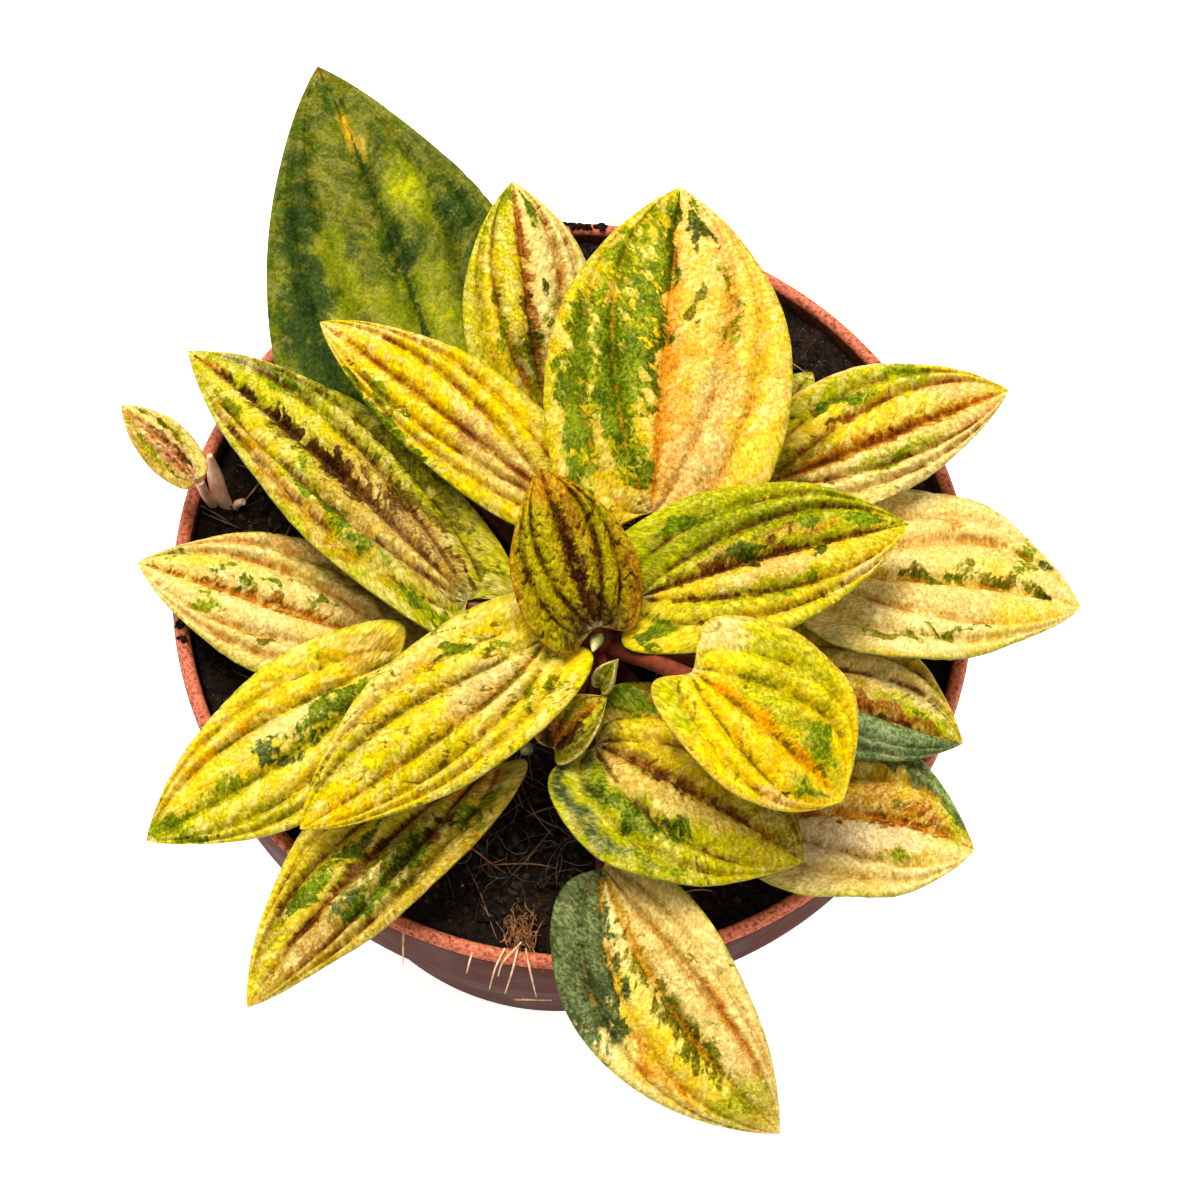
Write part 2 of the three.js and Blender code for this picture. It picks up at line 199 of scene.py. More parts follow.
def smooth(low: float, high: float, x: np.ndarray) -> np.ndarray:
    """Rises smoothly from 0 at low to 1 at high.

    Args:
        low: where it starts.
        high: where it ends.
        x: the values to look up.

    Returns:
        The share for each value.
    """
    t = np.clip((x - low) / (high - low), 0, 1)
    return t * t * (3 - 2 * t)


def blend(below: np.ndarray, above: Tint | str | np.ndarray, share: np.ndarray | float) -> np.ndarray:
    """Lays one linear colour over others.

    Args:
        below: what is there, one colour a row.
        above: what goes over it, as a tint or as linear values.
        share: how much of it shows.

    Returns:
        The mixed colours.
    """
    if isinstance(above, (Tint, str)):
        above = np.array(linear(above))
    return (1 - share) * below + share * above


def put(name: str, data: bpy.types.ID) -> bpy.types.Object:
    """Puts an object at the origin and links it to the scene.

    Args:
        name: its name.
        data: its mesh, lamp or camera.

    Returns:
        The object.
    """
    thing = bpy.data.objects.new(name, data)
    bpy.context.scene.collection.objects.link(thing)
    return thing


def bare_mesh(
    name: str, points_mm: np.ndarray, faces: Sequence[Face], edges: Sequence[Face] = ()
) -> bpy.types.Mesh:
    """Makes a mesh from points in millimetres.

    Args:
        name: its name.
        points_mm: the points, one row each.
        faces: each face's points, anticlockwise from outside.
        edges: each loose edge's two points.

    Returns:
        The mesh, without a finish.
    """
    mesh = bpy.data.meshes.new(name)
    mesh.from_pydata((points_mm * MM).tolist(), list(edges), [tuple(f) for f in faces])
    mesh.update()
    return mesh


def turned(rings: int, sides: int, flipped: bool = False) -> list[Face]:
    """Closes a turned shape, whose points are its rings, then its first and its last centre.

    Args:
        rings: how many rings it has.
        sides: points on each ring.
        flipped: whether the first centre is the top one, not the bottom one.

    Returns:
        Its faces.
    """
    first, last = rings * sides, (rings - 1) * sides
    steps = [(i, (i + 1) % sides) for i in range(sides)]
    faces = [(k + i, k + j, k + sides + j, k + sides + i) for k in range(0, last, sides) for i, j in steps]
    for i, j in steps:
        faces += [(first, j, i), (first + 1, last + i, last + j)]
    return [(face[0], *face[:0:-1]) for face in faces] if flipped else faces


def make_piece(
    name: str, points_mm: np.ndarray, faces: Sequence[Face], material: bpy.types.Material
) -> bpy.types.Object:
    """Makes a smooth mesh object at the origin from points in millimetres.

    Args:
        name: the piece's name.
        points_mm: the points, one row each.
        faces: each face's points, anticlockwise from outside.
        material: its finish.

    Returns:
        The object, linked to the scene.
    """
    mesh = bare_mesh(name, points_mm, faces)
    mesh.materials.append(material)
    mesh.polygons.foreach_set("use_smooth", [True] * len(mesh.polygons))
    mesh.update()
    return put(name, mesh)


def store(mesh: bpy.types.Mesh, name: str, kind: str, values: np.ndarray) -> None:
    """Writes one value per point into a mesh attribute.

    Args:
        mesh: the mesh.
        name: the attribute's name, which a material reads.
        kind: FLOAT, FLOAT_VECTOR or FLOAT_COLOR.
        values: one row per point.
    """
    key = {"FLOAT": "value", "FLOAT_VECTOR": "vector", "FLOAT_COLOR": "color"}[kind]
    attribute = mesh.attributes.new(name, kind, "POINT")
    attribute.data.foreach_set(key, np.ascontiguousarray(values, dtype=np.float32).ravel())


def finish_piece(piece: bpy.types.Object, slot: Slot, nodes: Sequence[str] = ()) -> None:
    """Makes a piece ride on the part and stand for its solids, and logs its slot.

    Args:
        piece: the finished piece.
        slot: the record's slot of its finish.
        nodes: the CAD nodes that it replaces.
    """
    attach(piece, BODY)
    if nodes:
        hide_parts(*nodes)
    counts = len(piece.data.vertices), len(piece.data.polygons)
    LOG.info("%s: %d points, %d faces, slot %s", piece.name, *counts, slot.value)


def settle(piece: bpy.types.Object, modifier: bpy.types.Modifier) -> bpy.types.Object:
    """Keeps what a modifier makes of a piece as its plain mesh.

    Args:
        piece: the piece.
        modifier: the modifier, which is removed.

    Returns:
        The same piece.
    """
    evaluated = piece.evaluated_get(bpy.context.evaluated_depsgraph_get())
    mesh = bpy.data.meshes.new_from_object(evaluated)
    piece.modifiers.remove(modifier)
    piece.data = mesh
    return piece


def grown(piece: bpy.types.Object, tree: bpy.types.NodeTree, inputs: dict[str, Any]) -> bpy.types.Object:
    """Runs a Geometry Nodes tree on a piece and keeps the result as the piece's plain mesh.

    Args:
        piece: the object whose mesh the tree starts from.
        tree: the tree.
        inputs: by input name, the values that differ from the tree's own.

    Returns:
        The same object with its new mesh and no modifier.
    """
    modifier = piece.modifiers.new(tree.name, "NODES")
    modifier.node_group = tree
    sockets = {s.name: s.identifier for s in tree.interface.items_tree if s.in_out == "INPUT"}
    for name, value in inputs.items():
        modifier[sockets[name]] = value
    return settle(piece, modifier)


# ---- Finishes ----


@dataclass(frozen=True)
class BladeFinish:
    """A live, fleshy peperomia leaf: waxy skin over quilted flesh, with sectors of colour.

    The skin gives a soft satin light on each quilt. Its colour changes from one clump of cells to the
    next, so a sector has a torn, stepped edge and the ground is a mosaic with a fine net between. The
    valleys between the folds are painted shade, deeper in colour and darker, and the crests get a little
    painted light.
    """

    name: str = "variegated_leaf_skin"
    torn: float = 0.5  # how far the streaks eat into a sector's edge
    celled: float = 0.24  # how far single clumps of cells do
    specked: float = 0.17  # how far the smallest specks do
    soft: float = 0.15  # how softly the edge is cut
    streak_mm: float = 2.6
    cell_mm: float = 0.95
    speck_mm: float = 0.42  # real cells are 0.05 mm, drawn coarser so that they show
    grain_mm: float = 0.3
    mottle_mm: float = 2.4
    grain_depth_mm: float = 0.15
    hatching: float = 0.62
    roughness_low: float = 0.32
    roughness_high: float = 0.52
    ior: float = 1.42  # leaf wax

    def build(self) -> bpy.types.Material:
        """Makes the material.

        Returns:
            The material, which reads what Leaf.lay_colours stores.
        """
        material, add = new_material(self.name)
        names = ("blade", "weave", "ground", "net", "stain_and_shade", "sector", "vein", "paleness")
        read = {name: add("Attribute", attribute_name=name) for name in names}
        blade, weave = read["blade"].outputs["Vector"], read["weave"].outputs["Vector"]
        torn_place = add(
            "Mapping", {"Vector": weave, "Scale": (0.7 / self.streak_mm, 1 / self.streak_mm, 1.0)},
        )
        streaks = add(
            "TexNoise",
            {"Vector": torn_place, "Scale": 1.0, "Detail": 6.0, "Roughness": 0.66, "Distortion": 0.3},
        )
        grain = add(
            "TexNoise",
            {
                "Vector": blade, "Scale": 1 / self.grain_mm, "Detail": 3.0, "Roughness": 0.65,
                "Distortion": 0.4,
            },
        )
        mottle = add(
            "TexNoise", {"Vector": blade, "Scale": 1 / self.mottle_mm, "Detail": 5.0, "Roughness": 0.62},
        )
        # clumps of cells with wandering outlines, in rows along the fine veins
        wander = add("VectorMath", grain.outputs["Color"], (0.3, 0.3, 0.0), weave, operation="MULTIPLY_ADD")
        rows = add("Mapping", {"Vector": wander, "Scale": (0.8, 1.1, 1.0)})
        cells, specks = (
            add("TexVoronoi", {"Vector": rows, "Scale": 1 / size}) for size in (self.cell_mm, self.speck_mm)
        )
        borders = add("TexVoronoi", {"Vector": rows, "Scale": 1 / self.cell_mm}, feature="DISTANCE_TO_EDGE")
        lot = add("SeparateColor", cells.outputs["Color"])
        speck_lot = add("SeparateColor", specks.outputs["Color"])

        # the ground: pale cells, and a darker net between them
        chosen = add("Math", lot.outputs[1], streaks, operation="ADD")
        pale = add("MapRange", chosen, 0.84, 1.36, 0.0, read["paleness"].outputs["Fac"])
        lighter = add("Mix", pale, read["ground"].outputs["Color"], Tint.PALE, data_type="RGBA")
        border = add("MapRange", borders, 0.02, 0.36, 1.0, 0.0)
        patchy = add("MapRange", mottle, 0.4, 0.6, 0.1, 1.0)
        net_here = add("Math", border, patchy, operation="MULTIPLY")
        net_share = add("Math", net_here, read["net"].outputs["Alpha"], operation="MULTIPLY")
        colour = add("Mix", net_share, lighter, read["net"].outputs["Color"], data_type="RGBA")

        # stains with the valleys' painted shade, sectors and veins: streaks, cells and specks are added to
        # each soft edge, then it is cut
        ragged = add(
            "Math", streaks, 2 * self.torn, -self.torn - self.celled - self.specked,
            operation="MULTIPLY_ADD",
        )
        for chance, reach in ((lot, self.celled), (speck_lot, self.specked)):
            ragged = add("Math", chance.outputs[0], 2 * reach, ragged, operation="MULTIPLY_ADD")
        for name, raggedness, softness, most in (
            ("stain_and_shade", 1.0, 0.18, 0.84),
            ("sector", 1.0, self.soft, 0.94),
            ("vein", 0.45, 0.22, 0.8),
        ):
            edge = add("Math", ragged, raggedness, read[name].outputs["Alpha"], operation="MULTIPLY_ADD")
            share = add(
                "MapRange", edge, 0.5 - softness, 0.5 + softness, 0.0, most, interpolation_type="SMOOTHSTEP",
            )
            colour = add("Mix", share, colour, read[name].outputs["Color"], data_type="RGBA")

        # a dark grain is deeper in colour as well as darker; the valley between folds is painted shade,
        # deeper in colour and darker, and the crest is a little lighter as painted light
        blotch = add("Math", mottle, 0.8, -0.4, operation="MULTIPLY_ADD")
        hatch = add("Math", grain, blotch, operation="ADD")
        dark = add("MapRange", hatch, 0.32, 0.66, 1 + 0.5 * self.hatching, 1 - 0.3 * self.hatching)
        valley_shade = add("MapRange", read["ground"].outputs["Alpha"], 0.0, 0.8, 0.1, 0.0)
        deep = add("Math", dark, valley_shade, operation="ADD")
        deepened = add("Gamma", colour, deep)
        light_grain = add("MapRange", hatch, 0.32, 0.66, 1 - 0.42 * self.hatching, 1 + 0.2 * self.hatching)
        # painted light on the fold crests, painted shade in the valleys
        fold_light_and_shade = add("MapRange", read["ground"].outputs["Alpha"], 0.0, 0.75, 0.88, 1.04)
        light = add("Math", light_grain, fold_light_and_shade, operation="MULTIPLY")
        hatched = add("Mix", 1.0, deepened, light, data_type="RGBA", blend_type="MULTIPLY")
        sheen = add("MapRange", mottle, 0.3, 0.7, self.roughness_low, self.roughness_high)
        swell = add("Math", cells, -0.9, grain, operation="MULTIPLY_ADD")
        bump = add("Bump", {"Height": swell, "Strength": 0.8, "Distance": self.grain_depth_mm * MM})
        skin = add(
            "BsdfPrincipled",
            {
                "Base Color": hatched, "Roughness": sheen, "IOR": self.ior, "Specular IOR Level": 0.14,
                "Normal": bump, "Subsurface Weight": 0.06, "Subsurface Radius": (1.0, 0.8, 0.2),
                "Subsurface Scale": 0.6 * MM,
            },
        )
        add("OutputMaterial", {"Surface": skin})
        return material


@dataclass(frozen=True)
class StalkFinish:
    """A fleshy leaf stalk: thin translucent skin, wine red.

    It gives a rounded, slightly wet shine and darker flecks drawn out along the stalk.
    """

    name: str = "fleshy_stalk_skin"
    light: Tint = Tint.MAROON
    dark: Tint = Tint.WINE
    fleck_mm: float = 1.2
    ior: float = 1.42

    def build(self) -> bpy.types.Material:
        """Makes the material.

        Returns:
            The material, on Object coordinates.
        """
        material, add = new_material(self.name)
        place = add("TexCoord").outputs["Object"]
        size = self.fleck_mm * MM
        drawn = add("Mapping", {"Vector": place, "Scale": (1 / size, 1 / size, 0.35 / size)})
        flecks = add("TexNoise", {"Vector": drawn, "Scale": 1.0, "Detail": 4.0, "Roughness": 0.6})
        share = add("MapRange", flecks, 0.35, 0.65)
        colour = add("Mix", share, self.light, self.dark, data_type="RGBA")
        gloss = add("MapRange", flecks, 0.3, 0.7, 0.3, 0.5)
        bump = add("Bump", {"Height": flecks, "Strength": 0.5, "Distance": 0.08 * MM})
        skin = add(
            "BsdfPrincipled",
            {
                "Base Color": colour, "Roughness": gloss, "IOR": self.ior, "Normal": bump,
                "Subsurface Weight": 0.1, "Subsurface Radius": (1.0, 0.4, 0.3), "Subsurface Scale": MM,
            },
        )
        add("OutputMaterial", {"Surface": skin})
        return material


@dataclass(frozen=True)
class PotPlastic:
    """Injection-moulded polypropylene, terracotta brown: satin on the wall, with painted light on the lip.

    It gives broad soft highlights and a fine moulded grain on the wall. The wall's brown is darkened as
    painted shade; the lip's top is painted lighter salmon as painted light, and pitted; and the inside
    below it is painted nearly black, partly peat stain and partly painted shade.
    """

    name: str = "moulded_terracotta_polypropylene"
    # the wall's brown is darkened as painted shade; the lip, the same plastic, is lighter salmon as painted
    # light on its top
    body: str = "#4a241c"
    worn: str = "#5e3226"
    lip: str = "#cf7f66"
    lip_dark: str = "#8f4e3e"
    # the inside below the lip: nearly black, partly peat stain and partly painted shade in the pot's recess
    stain_and_shade: str = "#1f0f0b"
    dust: str = "#2c1712"
    grain_mm: float = 0.4  # the real moulded grain is 0.1 mm, drawn coarser so that it shows
    scuff_mm: float = 6.0
    ring_scale: Point = (60.0, 60.0, 900.0)  # per metre, so that fine rings run round the wall
    ior: float = 1.49

    def build(self) -> bpy.types.Material:
        """Makes the material.

        Returns:
            The material, on Object coordinates and the wall's lip and inside attributes.
        """
        material, add = new_material(self.name)
        place = add("TexCoord").outputs["Object"]
        lip = add("Attribute", attribute_name="lip")
        inside = add("Attribute", attribute_name="inside")
        scuffs = add(
            "TexNoise",
            {"Vector": place, "Scale": 1 / (self.scuff_mm * MM), "Detail": 8.0, "Roughness": 0.66},
        )
        grain = add(
            "TexNoise",
            {"Vector": place, "Scale": 1 / (self.grain_mm * MM), "Detail": 4.0, "Roughness": 0.65},
        )
        drawn = add("Mapping", {"Vector": place, "Scale": self.ring_scale})
        rings = add("TexNoise", {"Vector": drawn, "Scale": 1.0, "Detail": 3.0})
        faint = add("MapRange", scuffs, 0.42, 0.7, 0.0, 0.6)
        wall = add("Mix", faint, self.body, self.worn, data_type="RGBA")
        pits = add("MapRange", grain, 0.42, 0.66)
        salmon = add("Mix", pits, self.lip, self.lip_dark, data_type="RGBA")
        # the painted light on the lip's top ends in a ragged line where the lip turns down into the wall
        reach = add("Math", scuffs, 0.5, lip.outputs["Fac"], operation="MULTIPLY_ADD")
        bleached = add("MapRange", reach, 0.62, 0.9)
        rimmed = add("Mix", bleached, wall, salmon, data_type="RGBA")
        # the inside is painted nearly black: partly peat stain, partly painted shade
        stained_and_shaded = add("Mix", inside.outputs["Fac"], rimmed, self.stain_and_shade, data_type="RGBA")
        specks = add("MapRange", grain, 0.55, 0.7, 0.0, 0.5)
        dusted = add("Mix", specks, stained_and_shaded, self.dust, data_type="RGBA")
        dull = add("MapRange", scuffs, 0.3, 0.7, 0.5, 0.8)
        relief = add("Math", rings, 0.7, grain, operation="MULTIPLY_ADD")
        bump = add("Bump", {"Height": relief, "Strength": 0.5, "Distance": 0.09 * MM})
        plastic = add(
            "BsdfPrincipled",
            {
                "Base Color": dusted, "Roughness": dull, "IOR": self.ior, "Specular IOR Level": 0.06,
                "Normal": bump,
            },
        )
        add("OutputMaterial", {"Surface": plastic})
        return material


@dataclass(frozen=True)
class PeatFinish:
    """Damp peat and coir compost: nearly black, with brown crumbs and a few pale grains.

    It gives a matt, open ground that swallows the light between its crumbs.
    """

    name: str = "damp_peat"
    dark: str = "#0a0706"
    brown: str = "#3b2a1f"
    pale: str = "#837a66"
    crumb_mm: float = 0.8
    grit_mm: float = 0.3

    def build(self) -> bpy.types.Material:
        """Makes the material.

        Returns:
            The material, on Object coordinates.
        """
        material, add = new_material(self.name)
        place = add("TexCoord").outputs["Object"]
        crumbs = add(
            "TexNoise",
            {"Vector": place, "Scale": 1 / (self.crumb_mm * MM), "Detail": 6.0, "Roughness": 0.7},
        )
        grit = add(
            "TexNoise", {"Vector": place, "Scale": 1 / (self.grit_mm * MM), "Detail": 2.0, "Roughness": 0.5},
        )
        brown = add("MapRange", crumbs, 0.4, 0.72)
        earth = add("Mix", brown, self.dark, self.brown, data_type="RGBA")
        bits = add("MapRange", grit, 0.66, 0.76, 0.0, 0.8)
        gritty = add("Mix", bits, earth, self.pale, data_type="RGBA")
        wet = add("MapRange", crumbs, 0.3, 0.7, 0.98, 0.72)
        bump = add("Bump", {"Height": crumbs, "Strength": 0.9, "Distance": 0.5 * MM})
        peat = add(
            "BsdfPrincipled",
            {"Base Color": gritty, "Roughness": wet, "Specular IOR Level": 0.25, "Normal": bump},
        )
        add("OutputMaterial", {"Surface": peat})
        return material


@dataclass(frozen=True)
class FibreFinish:
    """Coir and root fibre: dry, straw to brown, with a dull silky light along each strand."""

    name: str = "coir_fibre"
    light: str = "#b98a5c"
    dark: str = "#5c3a22"
    patch_mm: float = 2.0

    def build(self) -> bpy.types.Material:
        """Makes the material.

        Returns:
            The material, on Object coordinates.
        """
        material, add = new_material(self.name)
        place = add("TexCoord").outputs["Object"]
        shade = add(
            "TexNoise",
            {"Vector": place, "Scale": 1 / (self.patch_mm * MM), "Detail": 4.0, "Roughness": 0.6},
        )
        share = add("MapRange", shade, 0.35, 0.65)
        colour = add("Mix", share, self.light, self.dark, data_type="RGBA")
        bump = add("Bump", {"Height": shade, "Strength": 0.4, "Distance": 0.05 * MM})
        strand = add("BsdfPrincipled", {"Base Color": colour, "Roughness": 0.62, "Normal": bump})
        add("OutputMaterial", {"Surface": strand})
        return material


@dataclass(frozen=True)
class FloorFinish:
    """White matt light table: faint unevenness makes it read as a surface, and its glow opens the shadow."""

    name: str = "white_studio_board"
    light: str = "#fbfbfa"
    dark: str = "#f6f6f5"

    def build(self) -> bpy.types.Material:
        """Makes the material.

        Returns:
            The material, on Object coordinates.
        """
        material, add = new_material(self.name)
        place = add("TexCoord").outputs["Object"]
        cloud = add("TexNoise", {"Vector": place, "Scale": 4.0, "Detail": 2.0})
        colour = add("Mix", cloud, self.light, self.dark, data_type="RGBA")
        board = add(
            "BsdfPrincipled",
            {
                "Base Color": colour, "Roughness": 0.9, "Specular IOR Level": 0.1,
                "Emission Color": "#ffffff", "Emission Strength": 0.6,
            },
        )
        add("OutputMaterial", {"Surface": board})
        return material


# ---- Things that follow a path or a surface, made by Geometry Nodes ----


@dataclass(frozen=True)
class Strand:
    """One stalk, stem or fibre: a path and its radius at each of the path's points.

    Attributes:
        path: the points that it passes, in millimetres.
        radii: its radius at each of them, in millimetres.
    """

    path: tuple[Point, ...]
    radii: tuple[float, ...]

    def points(self, count: int) -> np.ndarray:
        """Rounds the path off.

        Args:
            count: how many points the rounded path has.

        Returns:
            One row of x, y, z and radius for each point, in millimetres.
        """
        rows = np.column_stack([np.array(self.path, float), np.array(self.radii, float)])
        steps = np.linspace(0, 1, count)
        place = np.linspace(0, 1, len(rows))
        straight = np.column_stack([np.interp(steps, place, rows[:, i]) for i in range(4)])
        padded = np.vstack([2 * straight[0] - straight[1], straight, 2 * straight[-1] - straight[-2]])
        for _ in range(max(1, count // 4)):
            padded[1:-1] = 0.25 * padded[:-2] + 0.5 * padded[1:-1] + 0.25 * padded[2:]
            padded[1] = straight[0]
            padded[-2] = straight[-1]
        return padded[1:-1]


class StrandTree:
    """The Geometry Nodes tree that turns lines of points with a radius into closed tubes."""

    def __init__(self) -> None:
        """Builds the tree."""
        self.tree, add, given = new_tree("tubes_along_paths", {"Sides": ("Int", 12)})
        line = add("GeometryNodeMeshToCurve", {"Mesh": given["Geometry"]})
        radius = add("GeometryNodeInputNamedAttribute", {"Name": "tube_radius"}, data_type="FLOAT")
        ring = add("GeometryNodeCurvePrimitiveCircle", {"Resolution": given["Sides"], "Radius": 1.0})
        feeds = {"Curve": line, "Profile Curve": ring, "Scale": radius, "Fill Caps": True}
        tube = add("GeometryNodeCurveToMesh", feeds)
        smoothed = add("GeometryNodeSetShadeSmooth", {"Geometry": tube})
        real = add("GeometryNodeRealizeInstances", {"Geometry": smoothed})
        dressed = add("GeometryNodeSetMaterial", {"Geometry": real, "Material": given["Finish"]})
        add("NodeGroupOutput", {"Geometry": dressed})

    def grow(
        self,
        name: str,
        strands: Sequence[Strand],
        material: bpy.types.Material,
        steps: int = 16,
        sides: int = 12,
    ) -> bpy.types.Object:
        """Makes one piece of tubes.

        Args:
            name: the piece's name.
            strands: what it is made of.
            material: its finish.
            steps: points along each strand.
            sides: points round each strand.

        Returns:
            The piece, as a plain mesh.
        """
        rows = [s.points(steps) for s in strands]
        edges = [(k * steps + i, k * steps + i + 1) for k in range(len(rows)) for i in range(steps - 1)]
        mesh = bare_mesh(name, np.vstack([r[:, :3] for r in rows]), [], edges)
        store(mesh, "tube_radius", "FLOAT", np.concatenate([r[:, 3] for r in rows]) * MM)
        return grown(put(name, mesh), self.tree, {"Sides": sides, "Finish": material})


class CrumbTree:
    """The Geometry Nodes tree that scatters rough crumbs over a surface."""

    FULL_TURN = (6.28,) * 3
    FLATTEST = (0.6, 0.5, 0.45)  # a crumb's three half sizes lie between these shares of its radius
    LONGEST = (1.5, 1.1, 0.9)
    KNOBS_PER_METRE = 2600.0
    KNOB_MM = 0.45

    def __init__(self) -> None:
        """Builds the tree."""
        inputs = {
            "Per square metre": ("Float", 5e5), "Smallest": ("Float", 0.2 * MM),
            "Largest": ("Float", 0.7 * MM), "Seed": ("Int", RANDOM_SEED),
        }
        self.tree, add, given = new_tree("crumbs_on_a_surface", inputs)
        seed = given["Seed"]
        feeds = {"Mesh": given["Geometry"], "Density": given["Per square metre"], "Seed": seed}
        spots = add("GeometryNodeDistributePointsOnFaces", feeds)
        lump = add("GeometryNodeMeshIcoSphere", {"Radius": 1.0, "Subdivisions": 1})
        turn, squash = (
            add("FunctionNodeRandomValue", {0: low, 1: high, "Seed": seed}, data_type="FLOAT_VECTOR")
            for low, high in (((0.0,) * 3, self.FULL_TURN), (self.FLATTEST, self.LONGEST))
        )
        feeds = {2: given["Smallest"], 3: given["Largest"], "Seed": seed}
        size = add("FunctionNodeRandomValue", feeds, data_type="FLOAT")
        scale = add("VectorMath", squash, size, operation="SCALE")
        feeds = {"Points": spots, "Instance": lump, "Rotation": turn, "Scale": scale}
        placed = add("GeometryNodeInstanceOnPoints", feeds)
        real = add("GeometryNodeRealizeInstances", {"Geometry": placed})
        where = add("GeometryNodeInputPosition")
        rough = add("TexNoise", {"Vector": where, "Scale": self.KNOBS_PER_METRE, "Detail": 1.0})
        centred = add("VectorMath", rough.outputs["Color"], (0.5, 0.5, 0.5), operation="SUBTRACT")
        moved = add("VectorMath", centred, self.KNOB_MM * MM, operation="SCALE")
        knobbly = add("GeometryNodeSetPosition", {"Geometry": real, "Offset": moved})
        dressed = add("GeometryNodeSetMaterial", {"Geometry": knobbly, "Material": given["Finish"]})
        add("NodeGroupOutput", {"Geometry": dressed})

    def scatter(
        self,
        name: str,
        surface: bpy.types.Mesh,
        material: bpy.types.Material,
        per_cm2: float,
        sizes_mm: tuple[float, float],
    ) -> bpy.types.Object:
        """Makes one piece of crumbs.

        Args:
            name: the piece's name.
            surface: the mesh that they lie on.
            material: their finish.
            per_cm2: how many lie on a square centimetre.
            sizes_mm: the smallest and largest radius.

        Returns:
            The piece, as a plain mesh.
        """
        inputs = {
            "Per square metre": per_cm2 * 1e4, "Smallest": sizes_mm[0] * MM, "Largest": sizes_mm[1] * MM,
            "Finish": material,
        }
        return grown(put(name, surface), self.tree, inputs)


# ---- The pot ----


@dataclass
class Pot:
    """The round nursery pot: a thin tapering wall with a banded rim, a recessed base and six drains."""

    sides: int = 192
    drain_radius: float = 2.5
    drain_circle: float = 18.0
    drain_count: int = 6
    corner: float = 0.35
    # radius and height of each corner, up the outside, over the lip and down the inside
    corners: tuple[tuple[float, float], ...] = (
        (13.0, 0.0), (13.8, 2.0), (22.2, 2.0), (23.0, 0.0), (26.2, 0.0), (27.0, 0.8), (38.0, 54.5),
        (39.2, 55.0), (40.0, 67.1), (39.5, 68.0), (38.9, 68.0), (38.46, 67.5), (37.8, 56.0), (36.8, 54.0),
        (25.8, 3.8),
    )

    def profile(self) -> np.ndarray:
        """Rounds each corner of the wall with a small arc.

        Returns:
            Radius and height of each point, from the base's centre to the floor's centre.
        """
        corners = [np.array((0.0, 0.0)), *(np.array(c) for c in self.corners), np.array((0.0, 3.8))]
        rounded = [corners[0]]
        for before, here, after in zip(corners, corners[1:], corners[2:]):
            reach = min(self.corner, 0.4 * np.linalg.norm(here - before), 0.4 * np.linalg.norm(after - here))
            start = here + (before - here) / np.linalg.norm(before - here) * reach
            end = here + (after - here) / np.linalg.norm(after - here) * reach
            for t in (0.0, 0.25, 0.5, 0.75, 1.0):
                rounded.append((1 - t) ** 2 * start + 2 * t * (1 - t) * here + t * t * end)
        rounded.append(corners[-1])
        return np.array(rounded)

    def wall(self, material: bpy.types.Material) -> bpy.types.Object:
        """Turns the profile round the pot's axis.

        Args:
            material: its finish.

        Returns:
            The wall, closed at both centres.
        """
        profile = self.profile()
        inner = profile[1:-1]
        angles = np.linspace(0, 2 * math.pi, self.sides, endpoint=False)
        rings = np.array([[(r * math.cos(a), r * math.sin(a), z) for a in angles] for r, z in inner])
        points = np.vstack([rings.reshape(-1, 3), [(0, 0, profile[0][1])], [(0, 0, profile[-1][1])]])
        pot = make_piece("moulded_pot", points, turned(len(inner), self.sides), material)
        height = np.append(np.repeat(inner[:, 1], self.sides), (profile[0][1], profile[-1][1]))
        order = np.append(np.repeat(np.arange(len(inner)), self.sides), (0, len(inner)))
        lip_row = int(np.argmax(inner[:, 1]))
        # lip: where the lip's top gets its painted light
        store(pot.data, "lip", "FLOAT", smooth(66.7, 67.6, height) * (order <= lip_row + 10))
        # inside: where the inside is painted nearly black, partly stain and partly painted shade
        store(pot.data, "inside", "FLOAT", 0.9 * (order > lip_row + 2) * smooth(67.9, 67.0, height))
        return pot

    def drill(self, pot: bpy.types.Object) -> None:
        """Cuts the drains through the base.

        Args:
            pot: the pot, which gets a new mesh.
        """
        steps = 24
        turns, middles = (np.exp(2j * math.pi * np.arange(n) / n) for n in (steps, self.drain_count))
        rings = [
            np.column_stack([ring.real, ring.imag, np.full(steps, height)])
            for ring in (self.drain_circle * middle + self.drain_radius * turns for middle in middles)
            for height in (-2.0, 8.0)  # past the base on both sides
        ]
        sides = [(i, (i + 1) % steps, steps + (i + 1) % steps, steps + i) for i in range(steps)]
        ends = [tuple(reversed(range(steps))), tuple(range(steps, 2 * steps))]
        faces = [tuple(i + 2 * steps * k for i in f) for k in range(self.drain_count) for f in sides + ends]
        cutter = make_piece("drain_cutter", np.vstack(rings), faces, pot.data.materials[0])
        modifier = pot.modifiers.new("drains", "BOOLEAN")
        modifier.operation = "DIFFERENCE"
        modifier.solver = "EXACT"
        modifier.object = cutter
        settle(pot, modifier)
        bpy.data.objects.remove(cutter)

    def build(self) -> None:
        """Builds and dresses the pot."""
        pot = self.wall(PotPlastic().build())
        self.drill(pot)
        finish_piece(pot, Slot.POT, ["pot"])


# ---- The peat ----


def inner_radius(height: float) -> float:
    """The radius of the pot's inside at a height, both in millimetres."""
    return float(np.interp(height, (3.8, 54.0, 56.0, 68.0), (25.8, 36.8, 37.8, 38.5)))


